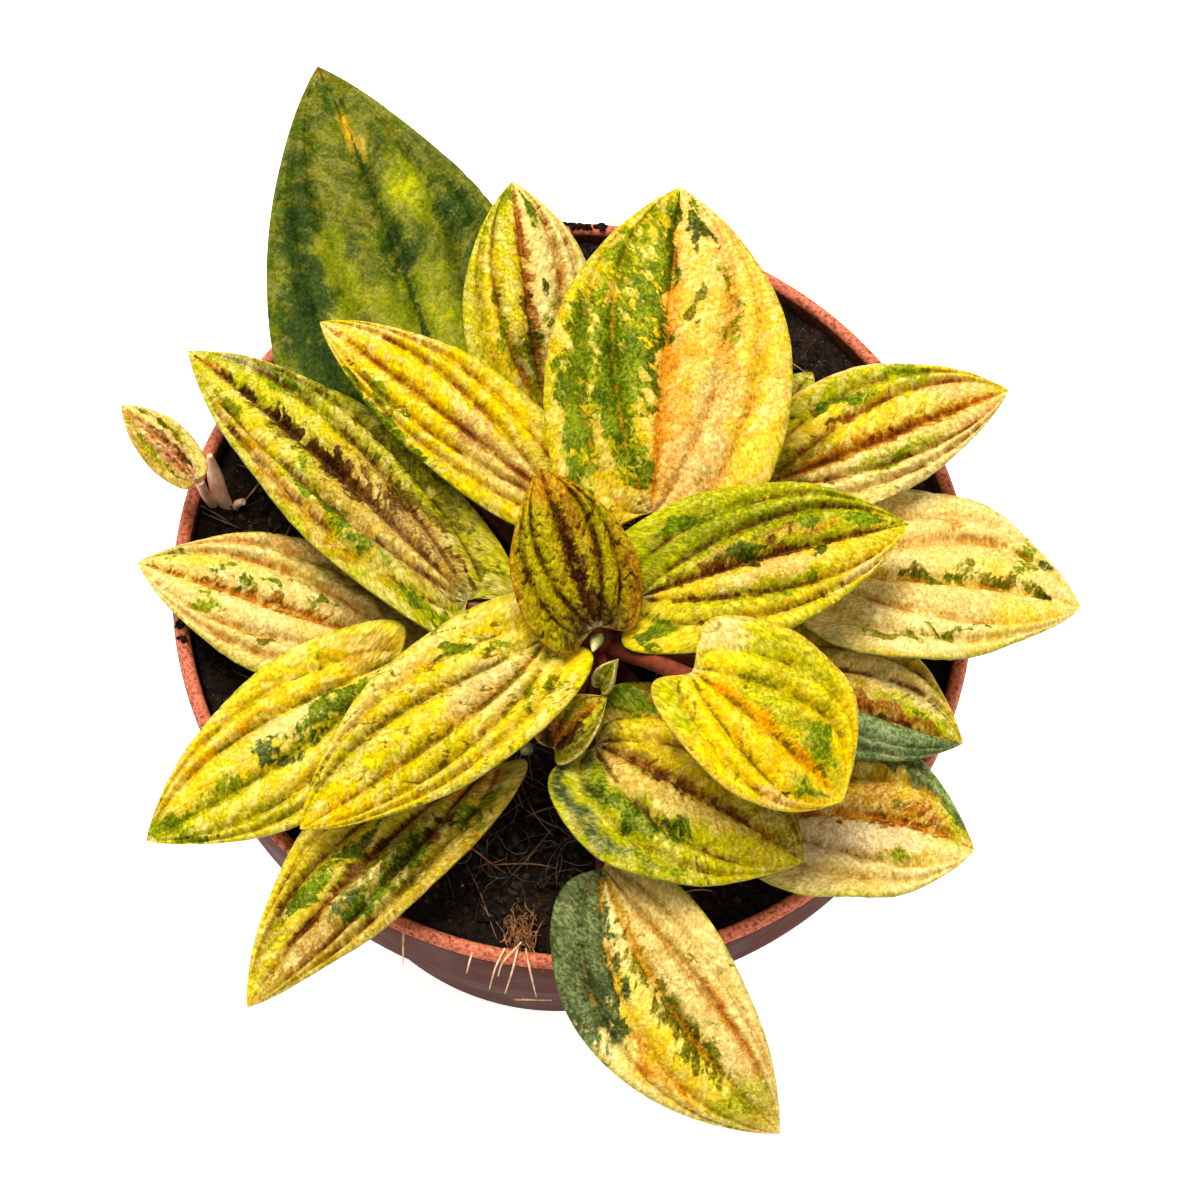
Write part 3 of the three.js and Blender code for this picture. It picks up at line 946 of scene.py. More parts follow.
@dataclass
class Peat:
    """The compost that fills the pot, with its crumbs and loose fibres."""

    level: float = 64.2
    lump: float = 0.5
    heap: float = 1.5  # how much higher it stands against the wall
    gap: float = 0.3
    rings: int = 70
    sides: int = 220
    fibres: int = 170
    roots: int = 420
    tangle: int = 110  # roots in the tuft
    mossy: tuple[float, float] = (26.0, 60.0)  # the bearings in degrees between which moss grows
    rng: np.random.Generator = field(default_factory=lambda: np.random.default_rng(RANDOM_SEED))

    LIP_TOP = 68.1
    FLOOR = 4.2  # just clear of the pot's own floor

    def height(self, x: np.ndarray, y: np.ndarray) -> np.ndarray:
        """The height of the surface: the solid's own lumps, with finer ones over them.

        Args:
            x: places across, in millimetres.
            y: places along, in millimetres.

        Returns:
            The heights in millimetres.
        """
        broad = np.sin(0.55 * x + 0.4) * np.cos(0.47 * y) + 0.6 * np.sin(0.9 * y - 0.7 * x)
        fine = np.sin(2.1 * x + 1.3 * np.sin(1.7 * y)) * np.sin(1.9 * y + 1.1 * np.sin(2.3 * x))
        grit = np.sin(4.7 * x + 2.0 * np.sin(3.9 * y)) * np.sin(5.1 * y + 2.0 * np.sin(4.3 * x))
        heaped = self.heap * smooth(0.72, 1.0, np.hypot(x, y) / inner_radius(self.level))
        return self.level + self.lump * broad + 0.35 * fine + 0.2 * grit + heaped

    def body(self, material: bpy.types.Material) -> bpy.types.Object:
        """Builds the filling, from its rough top down to the pot's floor.

        Args:
            material: its finish.

        Returns:
            The closed piece.
        """
        angles = np.linspace(0, 2 * math.pi, self.sides, endpoint=False)
        rows: list[np.ndarray] = []
        top_radius = inner_radius(self.level) - 0.4 * self.gap
        for share in np.linspace(0, 1, self.rings)[1:]:
            x = top_radius * share * np.cos(angles)
            y = top_radius * share * np.sin(angles)
            rows.append(np.column_stack([x, y, self.height(x, y)]))
        for height in (62.0, 56.2, 54.0, self.FLOOR):
            radius = inner_radius(height) - self.gap
            level = np.full(self.sides, height)
            rows.append(np.column_stack([radius * np.cos(angles), radius * np.sin(angles), level]))
        middle = float(self.height(np.zeros(1), np.zeros(1))[0])
        centre = np.array([[0.0, 0.0, middle], [0.0, 0.0, self.FLOOR]])
        points = np.vstack([*rows, centre])
        return make_piece("peat_filling", points, turned(len(rows), self.sides, flipped=True), material)

    def surface(self, arc: tuple[float, float] | None = None) -> bpy.types.Mesh:
        """The top alone, for the crumbs to lie on.

        Args:
            arc: the angles in degrees of a patch by the wall, instead of the whole.

        Returns:
            An open mesh that is never shown itself.
        """
        radius = inner_radius(self.level) - 1.2
        steps = 40
        grid = np.linspace(-radius, radius, steps)
        x, y = (a.ravel() for a in np.meshgrid(grid, grid))
        points = np.column_stack([x, y, self.height(x, y)])
        inside = np.hypot(x, y) < radius
        if arc:
            bearing = np.degrees(np.arctan2(y, x))
            inside &= (np.hypot(x, y) > radius - 6) & (bearing > arc[0]) & (bearing < arc[1])
        starts = [row * steps + column for row in range(steps - 1) for column in range(steps - 1)]
        faces = [(i, i + 1, i + steps + 1, i + steps) for i in starts]
        return bare_mesh("peat_top", points, [face for face in faces if inside[list(face)].all()])

    def loose_fibres(self) -> list[Strand]:
        """Fibres that lie about on the peat, each a short wavering line.

        Returns:
            The fibres.
        """
        strands: list[Strand] = []
        for _ in range(self.fibres):
            angle = self.rng.uniform(0, 2 * math.pi)
            out = (inner_radius(self.level) - 3.5) * math.sqrt(self.rng.uniform(0.02, 1))
            heading = self.rng.uniform(0, 2 * math.pi)
            length = self.rng.uniform(2.0, 9.0)
            bend = self.rng.uniform(-0.5, 0.5)
            thick = self.rng.uniform(0.05, 0.13)
            start = np.array([out * math.cos(angle), out * math.sin(angle)])
            path: list[Point] = []
            for step in range(5):
                along = length * (step / 4 - 0.5)
                facing = heading + bend * (step / 4 - 0.5)
                x, y = start + along * np.array([math.cos(facing), math.sin(facing)])
                reach = math.hypot(x, y)
                limit = inner_radius(self.level) - 1.0
                if reach > limit:
                    x, y = x * limit / reach, y * limit / reach
                lift = self.rng.uniform(0.15, 0.7)
                z = float(self.height(np.array([x]), np.array([y]))[0]) + lift
                path.append((float(x), float(y), z))
            strands.append(Strand(tuple(path), (0.4 * thick, thick, thick, thick, 0.3 * thick)))
        return strands

    def long_roots(self) -> list[Strand]:
        """Long dark roots laid over the peat: the three that show in front, and finer ones everywhere.

        Returns:
            The roots.
        """
        shown = (
            ((-5.5, -22.6), (-2.7, -24.2), (-0.1, -25.6)), ((-2.1, -25.0), (-4.4, -28.1), (-6.9, -31.1)),
            ((-5.0, -19.6), (-3.3, -20.4), (-1.8, -21.6)), ((-38.0, 8.0), (-36.1, 7.1), (-34.2, 6.3)),
            ((-37.2, 6.9), (-35.6, 6.5), (-33.6, 5.9)), ((-9.0, -32.9), (-7.5, -34.5), (-6.1, -36.9)),
        )
        strands = [self.laid(np.array(line), 0.11, 0.45) for line in shown]
        for _ in range(self.roots):
            angle, heading, bend = self.rng.uniform(0, 2 * math.pi, 3)
            out = (inner_radius(self.level) - 7.0) * math.sqrt(self.rng.uniform(0.02, 1))
            steps = np.linspace(-0.5, 0.5, 5)[:, None] * self.rng.uniform(5, 12)
            facing = heading + 0.05 * bend * steps
            start = np.array([out * math.cos(angle), out * math.sin(angle)])
            line = start + steps * np.column_stack([np.cos(facing), np.sin(facing)])
            strands.append(self.laid(line, self.rng.uniform(0.04, 0.08), 0.35))
        return strands

    def laid(self, line: np.ndarray, thick: float, lift: float) -> Strand:
        """One strand that lies on the peat.

        Args:
            line: its places, one row of x and y each.
            thick: its radius.
            lift: how high it lies over the peat.

        Returns:
            The strand.
        """
        heights = self.height(line[:, 0], line[:, 1]) + lift
        path = tuple((float(x), float(y), float(z)) for (x, y), z in zip(line, heights))
        return Strand(path, (0.5 * thick, *(thick,) * (len(path) - 2), 0.4 * thick))

    def rim_roots(self) -> list[Strand]:
        """The bleached roots that hang over the lip in front, and the one caught on the wall.

        Returns:
            The roots.
        """
        ends = (
            ((-16.3, -36.2, 68.2), (-16.3, -37.9, 67.9), (-16.3, -39.2, 66.0)),
            ((-9.7, -38.6, 68.3), (-10.0, -39.6, 68.0), (-10.2, -40.3, 67.0)),
            ((-6.6, -38.2, 68.4), (-7.5, -40.0, 68.2), (-8.0, -41.6, 66.2)),
            ((-5.3, -38.0, 68.4), (-5.8, -40.2, 68.3), (-6.5, -41.9, 65.6)),
            ((-4.6, -38.2, 68.5), (-4.2, -40.2, 68.3), (-3.5, -42.1, 65.4)),
            ((-5.0, -37.6, 68.6), (-6.9, -39.6, 68.4), (-7.2, -40.6, 67.2)),
            ((-5.6, -41.3, 61.2), (-3.8, -41.4, 61.5), (-1.9, -41.3, 61.0)),
        )
        return [Strand(path, (0.1, 0.1, 0.05)) for path in ends]

    def tuft(self) -> list[Strand]:
        """The tangle of brown roots that they come out of.

        Returns:
            The roots.
        """
        strands: list[Strand] = []
        for _ in range(self.tangle):
            path = [np.array([-5.1, -36.3, 67.2]) + self.rng.uniform(-1, 1, 3) * (1.2, 1.9, 0.5)]
            for _ in range(3):
                path.append(path[-1] + self.rng.uniform(-1, 1, 3) * (0.6, 1.0, 0.35))
            strands.append(Strand(tuple(tuple(place) for place in path), (0.05, 0.08, 0.07, 0.03)))
        return strands

    def patches(self) -> bpy.types.Mesh:
        """Small level squares on the lip where spilt crumbs lie.

        Returns:
            An open mesh that is never shown itself.
        """
        spots = ((-0.8, 39.1), (0.9, 39.1), (2.6, 39.0), (-38.5, -7.0), (-38.7, -5.4))
        square = ((-0.6, -0.3), (0.6, -0.3), (0.6, 0.3), (-0.6, 0.3))
        points = [(x + dx, y + dy, self.LIP_TOP) for x, y in spots for dx, dy in square]
        faces = [tuple(range(4 * k, 4 * k + 4)) for k in range(len(spots))]
        return bare_mesh("spilt_places", np.array(points), faces)

    def build(self, tubes: StrandTree, crumbs: CrumbTree, fibre: bpy.types.Material) -> None:
        """Builds and dresses the peat.

        Args:
            tubes: makes the fibres.
            crumbs: makes the crumbs.
            fibre: the fibres' finish.
        """
        damp = PeatFinish().build()
        finish_piece(self.body(damp), Slot.PEAT, ["soil"])
        # crumbs on top have dried: paler grains over the black ground
        dry = PeatFinish(
            name="dry_peat_crumb", dark="#1c1512", brown="#5a4a3a", pale="#b6aa94", crumb_mm=1.6,
        ).build()
        # moss: soft green grains that take the edge off the wall's shadow
        green = PeatFinish(
            name="cushion_moss", dark="#1a2412", brown="#4c5a34", pale="#b0b48c", crumb_mm=0.6, grit_mm=0.25
        ).build()
        for name, under, finish, per_cm2, sizes_mm in (
            ("peat_crumbs", self.surface(), dry, 110.0, (0.15, 0.6)),
            ("crumbs_on_the_lip", self.patches(), damp, 1500.0, (0.15, 0.4)),
            ("moss_by_the_wall", self.surface(self.mossy), green, 260.0, (0.12, 0.34)),
        ):
            finish_piece(crumbs.scatter(name, under, finish, per_cm2, sizes_mm), Slot.PEAT)
        # roots: grey brown where they lie on peat, rusty in the tuft, straw pale where the sun gets them
        dark = FibreFinish(name="dark_root", light="#7d7066", dark="#352a25").build()
        brown = FibreFinish(name="brown_root", light="#a8764a", dark="#38200f", patch_mm=0.9).build()
        bleached = FibreFinish(name="bleached_root", light="#ecd3b4", dark="#a9744c", patch_mm=1.0).build()
        for name, strands, finish, sides in (
            ("peat_fibres", self.loose_fibres, fibre, 5),
            ("long_roots", self.long_roots, dark, 5),
            ("root_tuft", self.tuft, brown, 5),
            ("roots_over_the_lip", self.rim_roots, bleached, 6),
        ):
            finish_piece(tubes.grow(name, strands(), finish, 9, sides), Slot.PEAT)


# ---- Leaves ----


@dataclass(frozen=True)
class Dab:
    """A patch of one colour on a blade.

    Attributes:
        tint: its colour.
        u: its middle across the blade, from -1 at the left margin to 1 at the right one.
        v: its middle along the blade, from 0 at the stalk to 1 at the tip.
        wide: half its width, in the measure of u.
        long: half its length, in the measure of v.
        strength: how much of it shows; above 1 it is solid right to its edge.
        lean: how far it drifts in u over one length of blade.
    """

    tint: Tint
    u: float
    v: float
    wide: float
    long: float
    strength: float = 1.0
    lean: float = 0.0

    def away(self, u: np.ndarray, v: np.ndarray) -> np.ndarray:
        """The squared distance from its middle, 1 at its edge.

        Args:
            u: places across the blade.
            v: places along the blade.

        Returns:
            The squared distances.
        """
        across = (u - self.u - self.lean * (v - self.v)) / self.wide
        along = (v - self.v) / self.long
        return across**2 + along**2


@dataclass(frozen=True)
class Blade:
    """The shape of one leaf, in millimetres, by the same rule as its solid.

    Attributes:
        node: the CAD node that it stands for.
        stalk: where the stalk meets the blade.
        tip: the blade's tip.
        left: half width to the left of the stalk-to-tip line.
        right: half width to its right.
        root: the height at which its stalk leaves the crown.
        widest: where it is widest, as a share of its length.
        base: how sharply it widens from the stalk.
        lobe: how far its shoulders reach back past the stalk.
        point: how sharply it narrows to the tip.
        arch: how high its middle stands over the line.
        cup: how high its margins stand.
        sway: how far its middle drifts to the right.
        roll: its turn about the line, in degrees.
        ridge: the height of the folds between its main veins.
        wave: the height of its margin's waves.
        rib: where its midrib runs, in the measure of u.
        fineness: rows and columns of faces.
    """

    node: str
    stalk: Point
    tip: Point
    left: float
    right: float
    root: float = 71.0
    widest: float = 0.38
    base: float = 0.62
    lobe: float = 0.16
    point: float = 1.9
    arch: float = 2.4
    cup: float = 0.4
    sway: float = 0.0
    roll: float = 0.0
    ridge: float = 1.25
    wave: float = 0.4
    rib: float = 0.0
    fineness: Fineness = Fineness.LARGE

    THICK = 0.8
    RIM_THICK = 0.35
    TIP_THICK = 0.56
    RIM_DROP = 0.35  # how far the margin turns down
    CROSS_VEINS = 12.0
    FOLD = 0.78  # below 1 the folds are puffy and the valleys between them sharp
    QUILT = 0.85  # how strongly the fine veins pucker it
    INNER_VEIN = (0.19, 0.56)  # how far from the midrib at the stalk, and how much further at the tip
    OUTER_VEIN = (0.54, 0.4)
    MIDRIB_MM = 0.3  # how wide each kind of vein is
    INNER_MM = 0.24
    OUTER_MM = 0.19
    CROSS_MM = 0.2

    @property
    def length(self) -> float:
        """The distance from stalk to tip."""
        return math.dist(self.stalk, self.tip)

    def own_number(self, top: int) -> int:
        """A whole number below top that only this leaf's name decides, to vary what is waved."""
        return sum(map(ord, self.node)) % top

    def axes(self) -> tuple[np.ndarray, np.ndarray, np.ndarray]:
        """The blade's own directions.

        Returns:
            Along the blade, to its right, and out of its upper face.
        """
        along = Vector(self.tip) - Vector(self.stalk)
        along.normalize()
        level = along.cross(Vector((0, 0, 1))).normalized()
        right = Matrix.Rotation(math.radians(self.roll), 3, along) @ level
        up = right.cross(along)
        return np.array(along), np.array(right), np.array(up)

    def width_share(self, v: np.ndarray) -> np.ndarray:
        """The half width at each place along, as a share of the largest."""
        low = np.clip(1 - ((self.widest - v) / self.widest) ** 2, 0, 1) ** self.base
        high = (1 - np.clip((v - self.widest) / (1 - self.widest), 0, 1) ** self.point) ** 0.88
        return np.where(v < self.widest, low, high)

    def lanes(self, u: np.ndarray, v: np.ndarray) -> tuple[np.ndarray, np.ndarray, np.ndarray]:
        """Places across the blade measured from the midrib, and where the two side veins run.

        Args:
            u: places across the blade.
            v: places along the blade.

        Returns:
            The place from the midrib, and the places of the inner and the outer side vein.
        """
        rib = self.rib * (1 - np.exp(-v / 0.1))
        placed = np.where(u < rib, (u - rib) / (1 + rib), (u - rib) / (1 - rib))
        inner, outer = (start + spread * v for start, spread in (self.INNER_VEIN, self.OUTER_VEIN))
        return placed, inner, outer

    def cross_veins(self, u: np.ndarray, v: np.ndarray) -> tuple[np.ndarray, np.ndarray]:
        """The fine veins that join the main ones.

        Args:
            u: places across the blade.
            v: places along the blade.

        Returns:
            How near each place is to one, and how far it swells between two.
        """
        placed, inner, _ = self.lanes(u, v)
        side = np.where(placed < 0, 0.43, 0.0)
        outside = np.abs(placed) > inner
        seed = self.own_number(17)
        wiggle = 0.26 * np.sin(9 * u + seed) + 0.24 * np.sin(23 * v + 2 * seed + 3 * u)
        wiggle += 0.2 * np.sin(31 * u - 14 * v + 3 * seed)
        slope = np.where(outside, 3.4, 2.2) * np.abs(placed)
        phase = self.CROSS_VEINS * v - slope + wiggle + side + np.where(outside, 0.31, 0.0)
        share = phase - np.floor(phase)
        gap_mm = self.length / self.CROSS_VEINS
        from_line = np.minimum(share, 1 - share) * gap_mm
        broken = smooth(-0.5, 0.6, np.sin(17 * u + 7 * v + seed) + np.sin(29 * v - 5 * u + 2 * seed))
        return broken * np.exp(-((from_line / self.CROSS_MM) ** 2)), np.sin(math.pi * share) ** 0.7

    def main_veins(self, u: np.ndarray, v: np.ndarray) -> tuple[np.ndarray, np.ndarray]:
        """The midrib and the side veins.

        Args:
            u: places across the blade.
            v: places along the blade.

        Returns:
            How near each place is to the midrib, and to a side vein.
        """
        placed, inner, outer = self.lanes(u, v)
        half = 0.5 * (self.left + self.right) * np.maximum(self.width_share(v), 0.02)
        seed = self.own_number(13)
        swing = 0.78 + 0.22 * np.sin(21 * v + 3 * np.sign(placed) + seed) + 0.14 * np.sin(47 * v + 2 * seed)
        place = np.abs(placed)
        midrib, first, second = (
            swing * np.exp(-(((place - middle) * half / wide) ** 2))
            for middle, wide in ((0.0, self.MIDRIB_MM), (inner, self.INNER_MM), (outer, self.OUTER_MM))
        )
        return midrib, np.maximum(first, 0.75 * second)

    def valleys(self, u: np.ndarray, v: np.ndarray) -> np.ndarray:
        """How deep in a valley between two folds each place lies, from 0 on a crest to 1.

        Args:
            u: places across the blade.
            v: places along the blade.

        Returns:
            The depths.
        """
        placed, inner, outer = self.lanes(u, v)
        place = np.abs(placed)
        reach = 0.34 * inner
        nearest = np.minimum(place, np.minimum(np.abs(place - inner), 1.4 * np.abs(place - outer)))
        return np.exp(-((nearest / reach) ** 2) * 3)

    def relief(self, u: np.ndarray, v: np.ndarray) -> np.ndarray:
        """The height of the folds, veins and quilts over the plain blade.

        Args:
            u: places across the blade.
            v: places along the blade.

        Returns:
            The heights in millimetres.
        """
        placed, inner, outer = self.lanes(u, v)
        place = np.abs(placed)
        fade = np.sin(math.pi * np.clip(v, 0, 1)) ** 0.6 * smooth(1.03, 0.87, v)
        lane_one = np.sin(math.pi * np.clip(place / inner, 0, 1)) ** self.FOLD
        lane_two = 0.9 * np.sin(math.pi * np.clip((place - inner) / (outer - inner), 0, 1)) ** self.FOLD
        rim = 0.55 * np.sin(0.8 * math.pi * np.clip((place - outer) / (1 - outer), 0, 1))
        folds = self.ridge * np.where(place < inner, lane_one, np.where(place < outer, lane_two, rim))
        midrib, side = self.main_veins(u, v)
        cross, swell = self.cross_veins(u, v)
        size = min(1.0, 0.04 * self.length)
        quilt = self.QUILT * size * (0.2 * swell - 0.12 * cross) * smooth(0.0, 0.12, place)
        return fade * (folds + quilt - 0.3 * size * midrib - 0.24 * size * side)

    def points(self, u: np.ndarray, v: np.ndarray) -> np.ndarray:
        """The upper face.

        Args:
            u: places across the blade.
            v: places along the blade.

        Returns:
            The points in millimetres.
        """
        along, right, up = self.axes()
        sweep = 9 * v * np.exp(1 - 9 * v)
        forward = (v - self.lobe * sweep * np.abs(u) ** 1.5) * self.length
        side = np.where(u < 0, self.left, self.right)
        aside = u * side * self.width_share(v) + self.sway * 4 * v * (1 - v)
        fade = np.sin(math.pi * np.clip(v, 0, 1)) ** 0.6
        height = self.arch * 4 * v * (1 - v) + self.cup * u**2 * fade + self.relief(u, v)
        height += self.wave * u**4 * np.sin(5 * math.pi * v + 7 * side) * fade
        height -= self.RIM_DROP * smooth(0.86, 1.0, np.abs(u)) * fade
        start = np.array(self.stalk)
        return start + forward[..., None] * along + aside[..., None] * right + height[..., None] * up

    def through(self, v: np.ndarray) -> np.ndarray:
        """The direction through the blade at each place along it."""
        along, _, up = self.axes()
        slope = self.arch * 4 * (1 - 2 * v) / self.length
        raw = up - slope[..., None] * along
        return raw / np.linalg.norm(raw, axis=-1, keepdims=True)

    def stalk_end(self, radius: float) -> np.ndarray:
        """Where the middle of the stalk's end lies, just under the blade."""
        return np.array(self.stalk) - self.through(np.zeros(1))[0] * (self.THICK + 0.6 * radius)


@dataclass(frozen=True)
class Painting:
    """The colours of one leaf.

    Attributes:
        left: the ground to the left of the midrib.
        right: the ground to its right.
        band: the stain along the midrib.
        band_wide: half the stain's width, in the measure of u.
        band_from: where the stain begins, along the blade.
        band_strength: how solid it is; below 0.7 it breaks up into specks.
        veins: the colour of the veins.
        vein_strength: how strongly the main veins show.
        cross_strength: how strongly the fine veins show.
        rim: the colour of the thin margin.
        rim_wide: how wide the margin is, in the measure of u.
        washes: soft patches in the ground.
        sectors: ragged patches over it.
        cloud: the colour of broad clouds in the ground.
        clouds: how strongly they show.
        valley: how far the band's colour spreads over the folds' valleys, partly the leaf's own colour and
            partly painted shade.
        net: the colour of the fine net over the ground.
        net_strength: how strongly the net shows.
        pale: how much paler the palest cells are.
    """

    left: Tint = Tint.BUTTER
    right: Tint = Tint.BUTTER
    band: Tint = Tint.OCHRE
    band_wide: float = 0.1
    band_from: float = 0.0
    band_strength: float = 0.8
    veins: Tint = Tint.RUST
    vein_strength: float = 0.85
    cross_strength: float = 0.5
    rim: Tint = Tint.LIME
    rim_wide: float = 0.05
    washes: tuple[Dab, ...] = ()
    sectors: tuple[Dab, ...] = ()
    cloud: Tint = Tint.LIME
    clouds: float = 0.3
    valley: float = 0.2
    net: Tint = Tint.OLIVE
    net_strength: float = 0.6
    pale: float = 0.4

    FLECK = Tint.GREEN  # the colour of stray flecks
    FLECKS = 0.03  # how many stray flecks there are, from 0 to about 0.4


@dataclass
class Leaf:
    """One leaf: its blade's mesh and its colours.

    Attributes:
        blade: its shape.
        painting: its colours.
        slot: the record's slot of its finish.
    """

    blade: Blade
    painting: Painting
    slot: Slot = Slot.LEAF

    def colours(self, u: np.ndarray, v: np.ndarray) -> dict[str, np.ndarray]:
        """Lays the colours on the upper face.

        Args:
            u: places across the blade.
            v: places along the blade.

        Returns:
            By attribute name, one linear colour per place, whose alpha is how much of it shows.
        """
        paint = self.painting
        placed, _, _ = self.blade.lanes(u, v)
        half = smooth(-0.08, 0.08, placed)[..., None]
        ground = blend(np.array(linear(paint.left)), paint.right, half)
        seed = self.blade.own_number(23)
        drift = np.sin(5.1 * u + 9 * v + seed) + np.sin(13 * v - 4 * u + 2 * seed)
        drift += np.sin(8 * u - 17 * v + 3 * seed)
        ground = blend(ground, paint.cloud, (paint.clouds * smooth(0.0, 1.6, drift))[..., None])
        # dabs have wandering outlines
        wander_u = u + 0.05 * np.sin(31 * v + 6 * u + seed) + 0.03 * np.sin(67 * v - 15 * u + 2 * seed)
        wander_v = v + 0.018 * np.sin(17 * u + 11 * v + seed) + 0.012 * np.sin(41 * u - 23 * v + 3 * seed)
        for wash in paint.washes:
            share = wash.strength * smooth(1.9, 0.2, wash.away(wander_u, wander_v))
            ground = blend(ground, wash.tint, share[..., None])
        begun = smooth(paint.band_from - 0.15, paint.band_from + 0.05, v)
        band = np.exp(-((placed / paint.band_wide) ** 2)) * begun
        # painted shade in the valleys between the folds: the band's stain spreads over them
        valley = self.blade.valleys(u, v) * smooth(0.95, 0.65, v)
        stain_and_shade, sector, vein, net = (np.zeros(u.shape + (4,)) for _ in range(4))
        stain_and_shade[...] = linear(paint.band)
        stain_and_shade[..., 3] = np.maximum(paint.band_strength * band, paint.valley * valley)
        edge = 0.8 * smooth(1 - 1.4 * paint.rim_wide, 1 - 0.2 * paint.rim_wide, np.abs(u))
        ground = blend(ground, paint.rim, edge[..., None])
        collar = 0.85 * np.exp(-((v / 0.045) ** 2) - (u / 0.5) ** 2)
        ground = blend(ground, Tint.SILVER, collar[..., None])

        weight = np.full(u.shape, 1e-6)
        strongest = np.zeros(u.shape)
        for dab in paint.sectors:
            here = dab.strength * np.clip(1 - 0.5 * dab.away(wander_u, wander_v), 0, 1)
            pull = here**3
            sector += pull[..., None] * linear(dab.tint)
            weight += pull
            strongest = np.maximum(strongest, here)
        stray = 0.02
        sector += stray * np.array(linear(paint.FLECK))
        sector /= (weight + stray)[..., None]
        sector[..., 3] = np.maximum(strongest, paint.FLECKS)

        midrib, side = self.blade.main_veins(u, v)
        cross, _ = self.blade.cross_veins(u, v)
        on_dark = np.minimum(strongest, 1) * smooth(0.12, 0.05, sector[..., :3].max(axis=-1))
        vein[...] = blend(np.array(linear(paint.veins)), 0.6 * sector, on_dark[..., None])
        shown = np.maximum(paint.vein_strength * np.maximum(midrib, side), paint.cross_strength * cross)
        vein[..., 3] = shown * smooth(0.0, 0.06, v) * smooth(0.98, 0.72, v)
        net[...] = linear(paint.net)
        net[..., 3] = paint.net_strength
        # the ground's alpha is the folds' height, which the finish turns into painted shade in the valleys
        # and painted light on the crests
        ground[..., 3] = 1 - 0.9 * valley
        return {"ground": ground, "net": net, "stain_and_shade": stain_and_shade, "sector": sector, "vein": vein}

    def build(self, material: bpy.types.Material) -> None:
        """Builds the blade as a closed mesh and dresses it.

        Args:
            material: its finish.
        """
        rows, columns = self.blade.fineness.value
        t = np.linspace(0, 1, rows + 1)[1:-1]
        eased = 0.5 * t + 0.5 * (0.5 - 0.5 * np.cos(math.pi * t))
        v, u = np.meshgrid(eased, np.linspace(-1, 1, columns + 1), indexing="ij")
        top = self.blade.points(u, v)
        thick = self.blade.THICK + (self.blade.RIM_THICK - self.blade.THICK) * np.abs(u) ** 6
        under = top - self.blade.through(v) * thick[..., None]
        ends = [self.blade.points(np.zeros(1), np.array([end]))[0] for end in (0.0, 1.0)]
        end_through = [self.blade.through(np.array([end]))[0] for end in (0.0, 1.0)]
        ends_under = [e - n * self.blade.TIP_THICK for e, n in zip(ends, end_through)]

        across = columns + 1
        count = v.size
        final = (len(v) - 1) * across
        points = np.vstack([top.reshape(-1, 3), under.reshape(-1, 3), ends, ends_under])
        base, tip, base_under, tip_under = (2 * count + k for k in range(4))
        faces: list[Face] = []
        for i in (first + c for first in range(0, final, across) for c in range(columns)):
            k = count + i
            faces += [(i, i + 1, i + across + 1, i + across), (k, k + across, k + across + 1, k + 1)]
        for c in range(columns):
            i, k = final + c, count + final + c
            faces += [(base, c + 1, c), (base_under, count + c, count + c + 1)]
            faces += [(tip, i, i + 1), (tip_under, k + 1, k)]
        loop = [base, *range(0, count, across), tip, *range(count - 1, 0, -across)]
        lower = {base: base_under, tip: tip_under}
        for a, b in zip(loop, loop[1:] + loop[:1]):
            faces.append((a, b, lower.get(b, b + count), lower.get(a, a + count)))
        piece = make_piece(self.blade.node + "_blade", points, faces, material)
        self.lay_colours(piece.data, u, v, count)
        finish_piece(piece, self.slot, [self.blade.node])

    def lay_colours(self, mesh: bpy.types.Mesh, u: np.ndarray, v: np.ndarray, count: int) -> None:
        """Writes the attributes that the finish reads.

        Args:
            mesh: the blade's mesh.
            u: places across, of one face.
            v: places along, of one face.
            count: points on one face.
        """
        flat_u = np.concatenate([u.ravel(), u.ravel(), np.zeros(4)])
        flat_v = np.concatenate([v.ravel(), v.ravel(), [0.0, 1.0, 0.0, 1.0]])
        below = np.concatenate([np.zeros(count), np.ones(count), [0.0, 0.0, 1.0, 1.0]])[:, None]
        pale = np.array(linear(Tint.UNDERSIDE))[:3]
        for name, colour in self.colours(flat_u, flat_v).items():
            if name == "ground":
                colour[:, :3] = blend(colour[:, :3], pale, 0.75 * below)
            else:
                colour[:, 3:] *= 1 - 0.6 * below
            store(mesh, name, "FLOAT_COLOR", colour)
        side = np.where(flat_u < 0, self.blade.left, self.blade.right)
        aside = flat_u * side * self.blade.width_share(flat_v)
        apart = 10.0 * self.blade.own_number(97) + 5 * below[:, 0]
        place = np.column_stack([aside, flat_v * self.blade.length, apart])
        store(mesh, "blade", "FLOAT_VECTOR", place)
        store(mesh, "paleness", "FLOAT", np.full(len(flat_u), self.painting.pale))
        place[:, 1] -= 0.6 * np.abs(place[:, 0])  # slanted as the fine veins are
        store(mesh, "weave", "FLOAT_VECTOR", place)


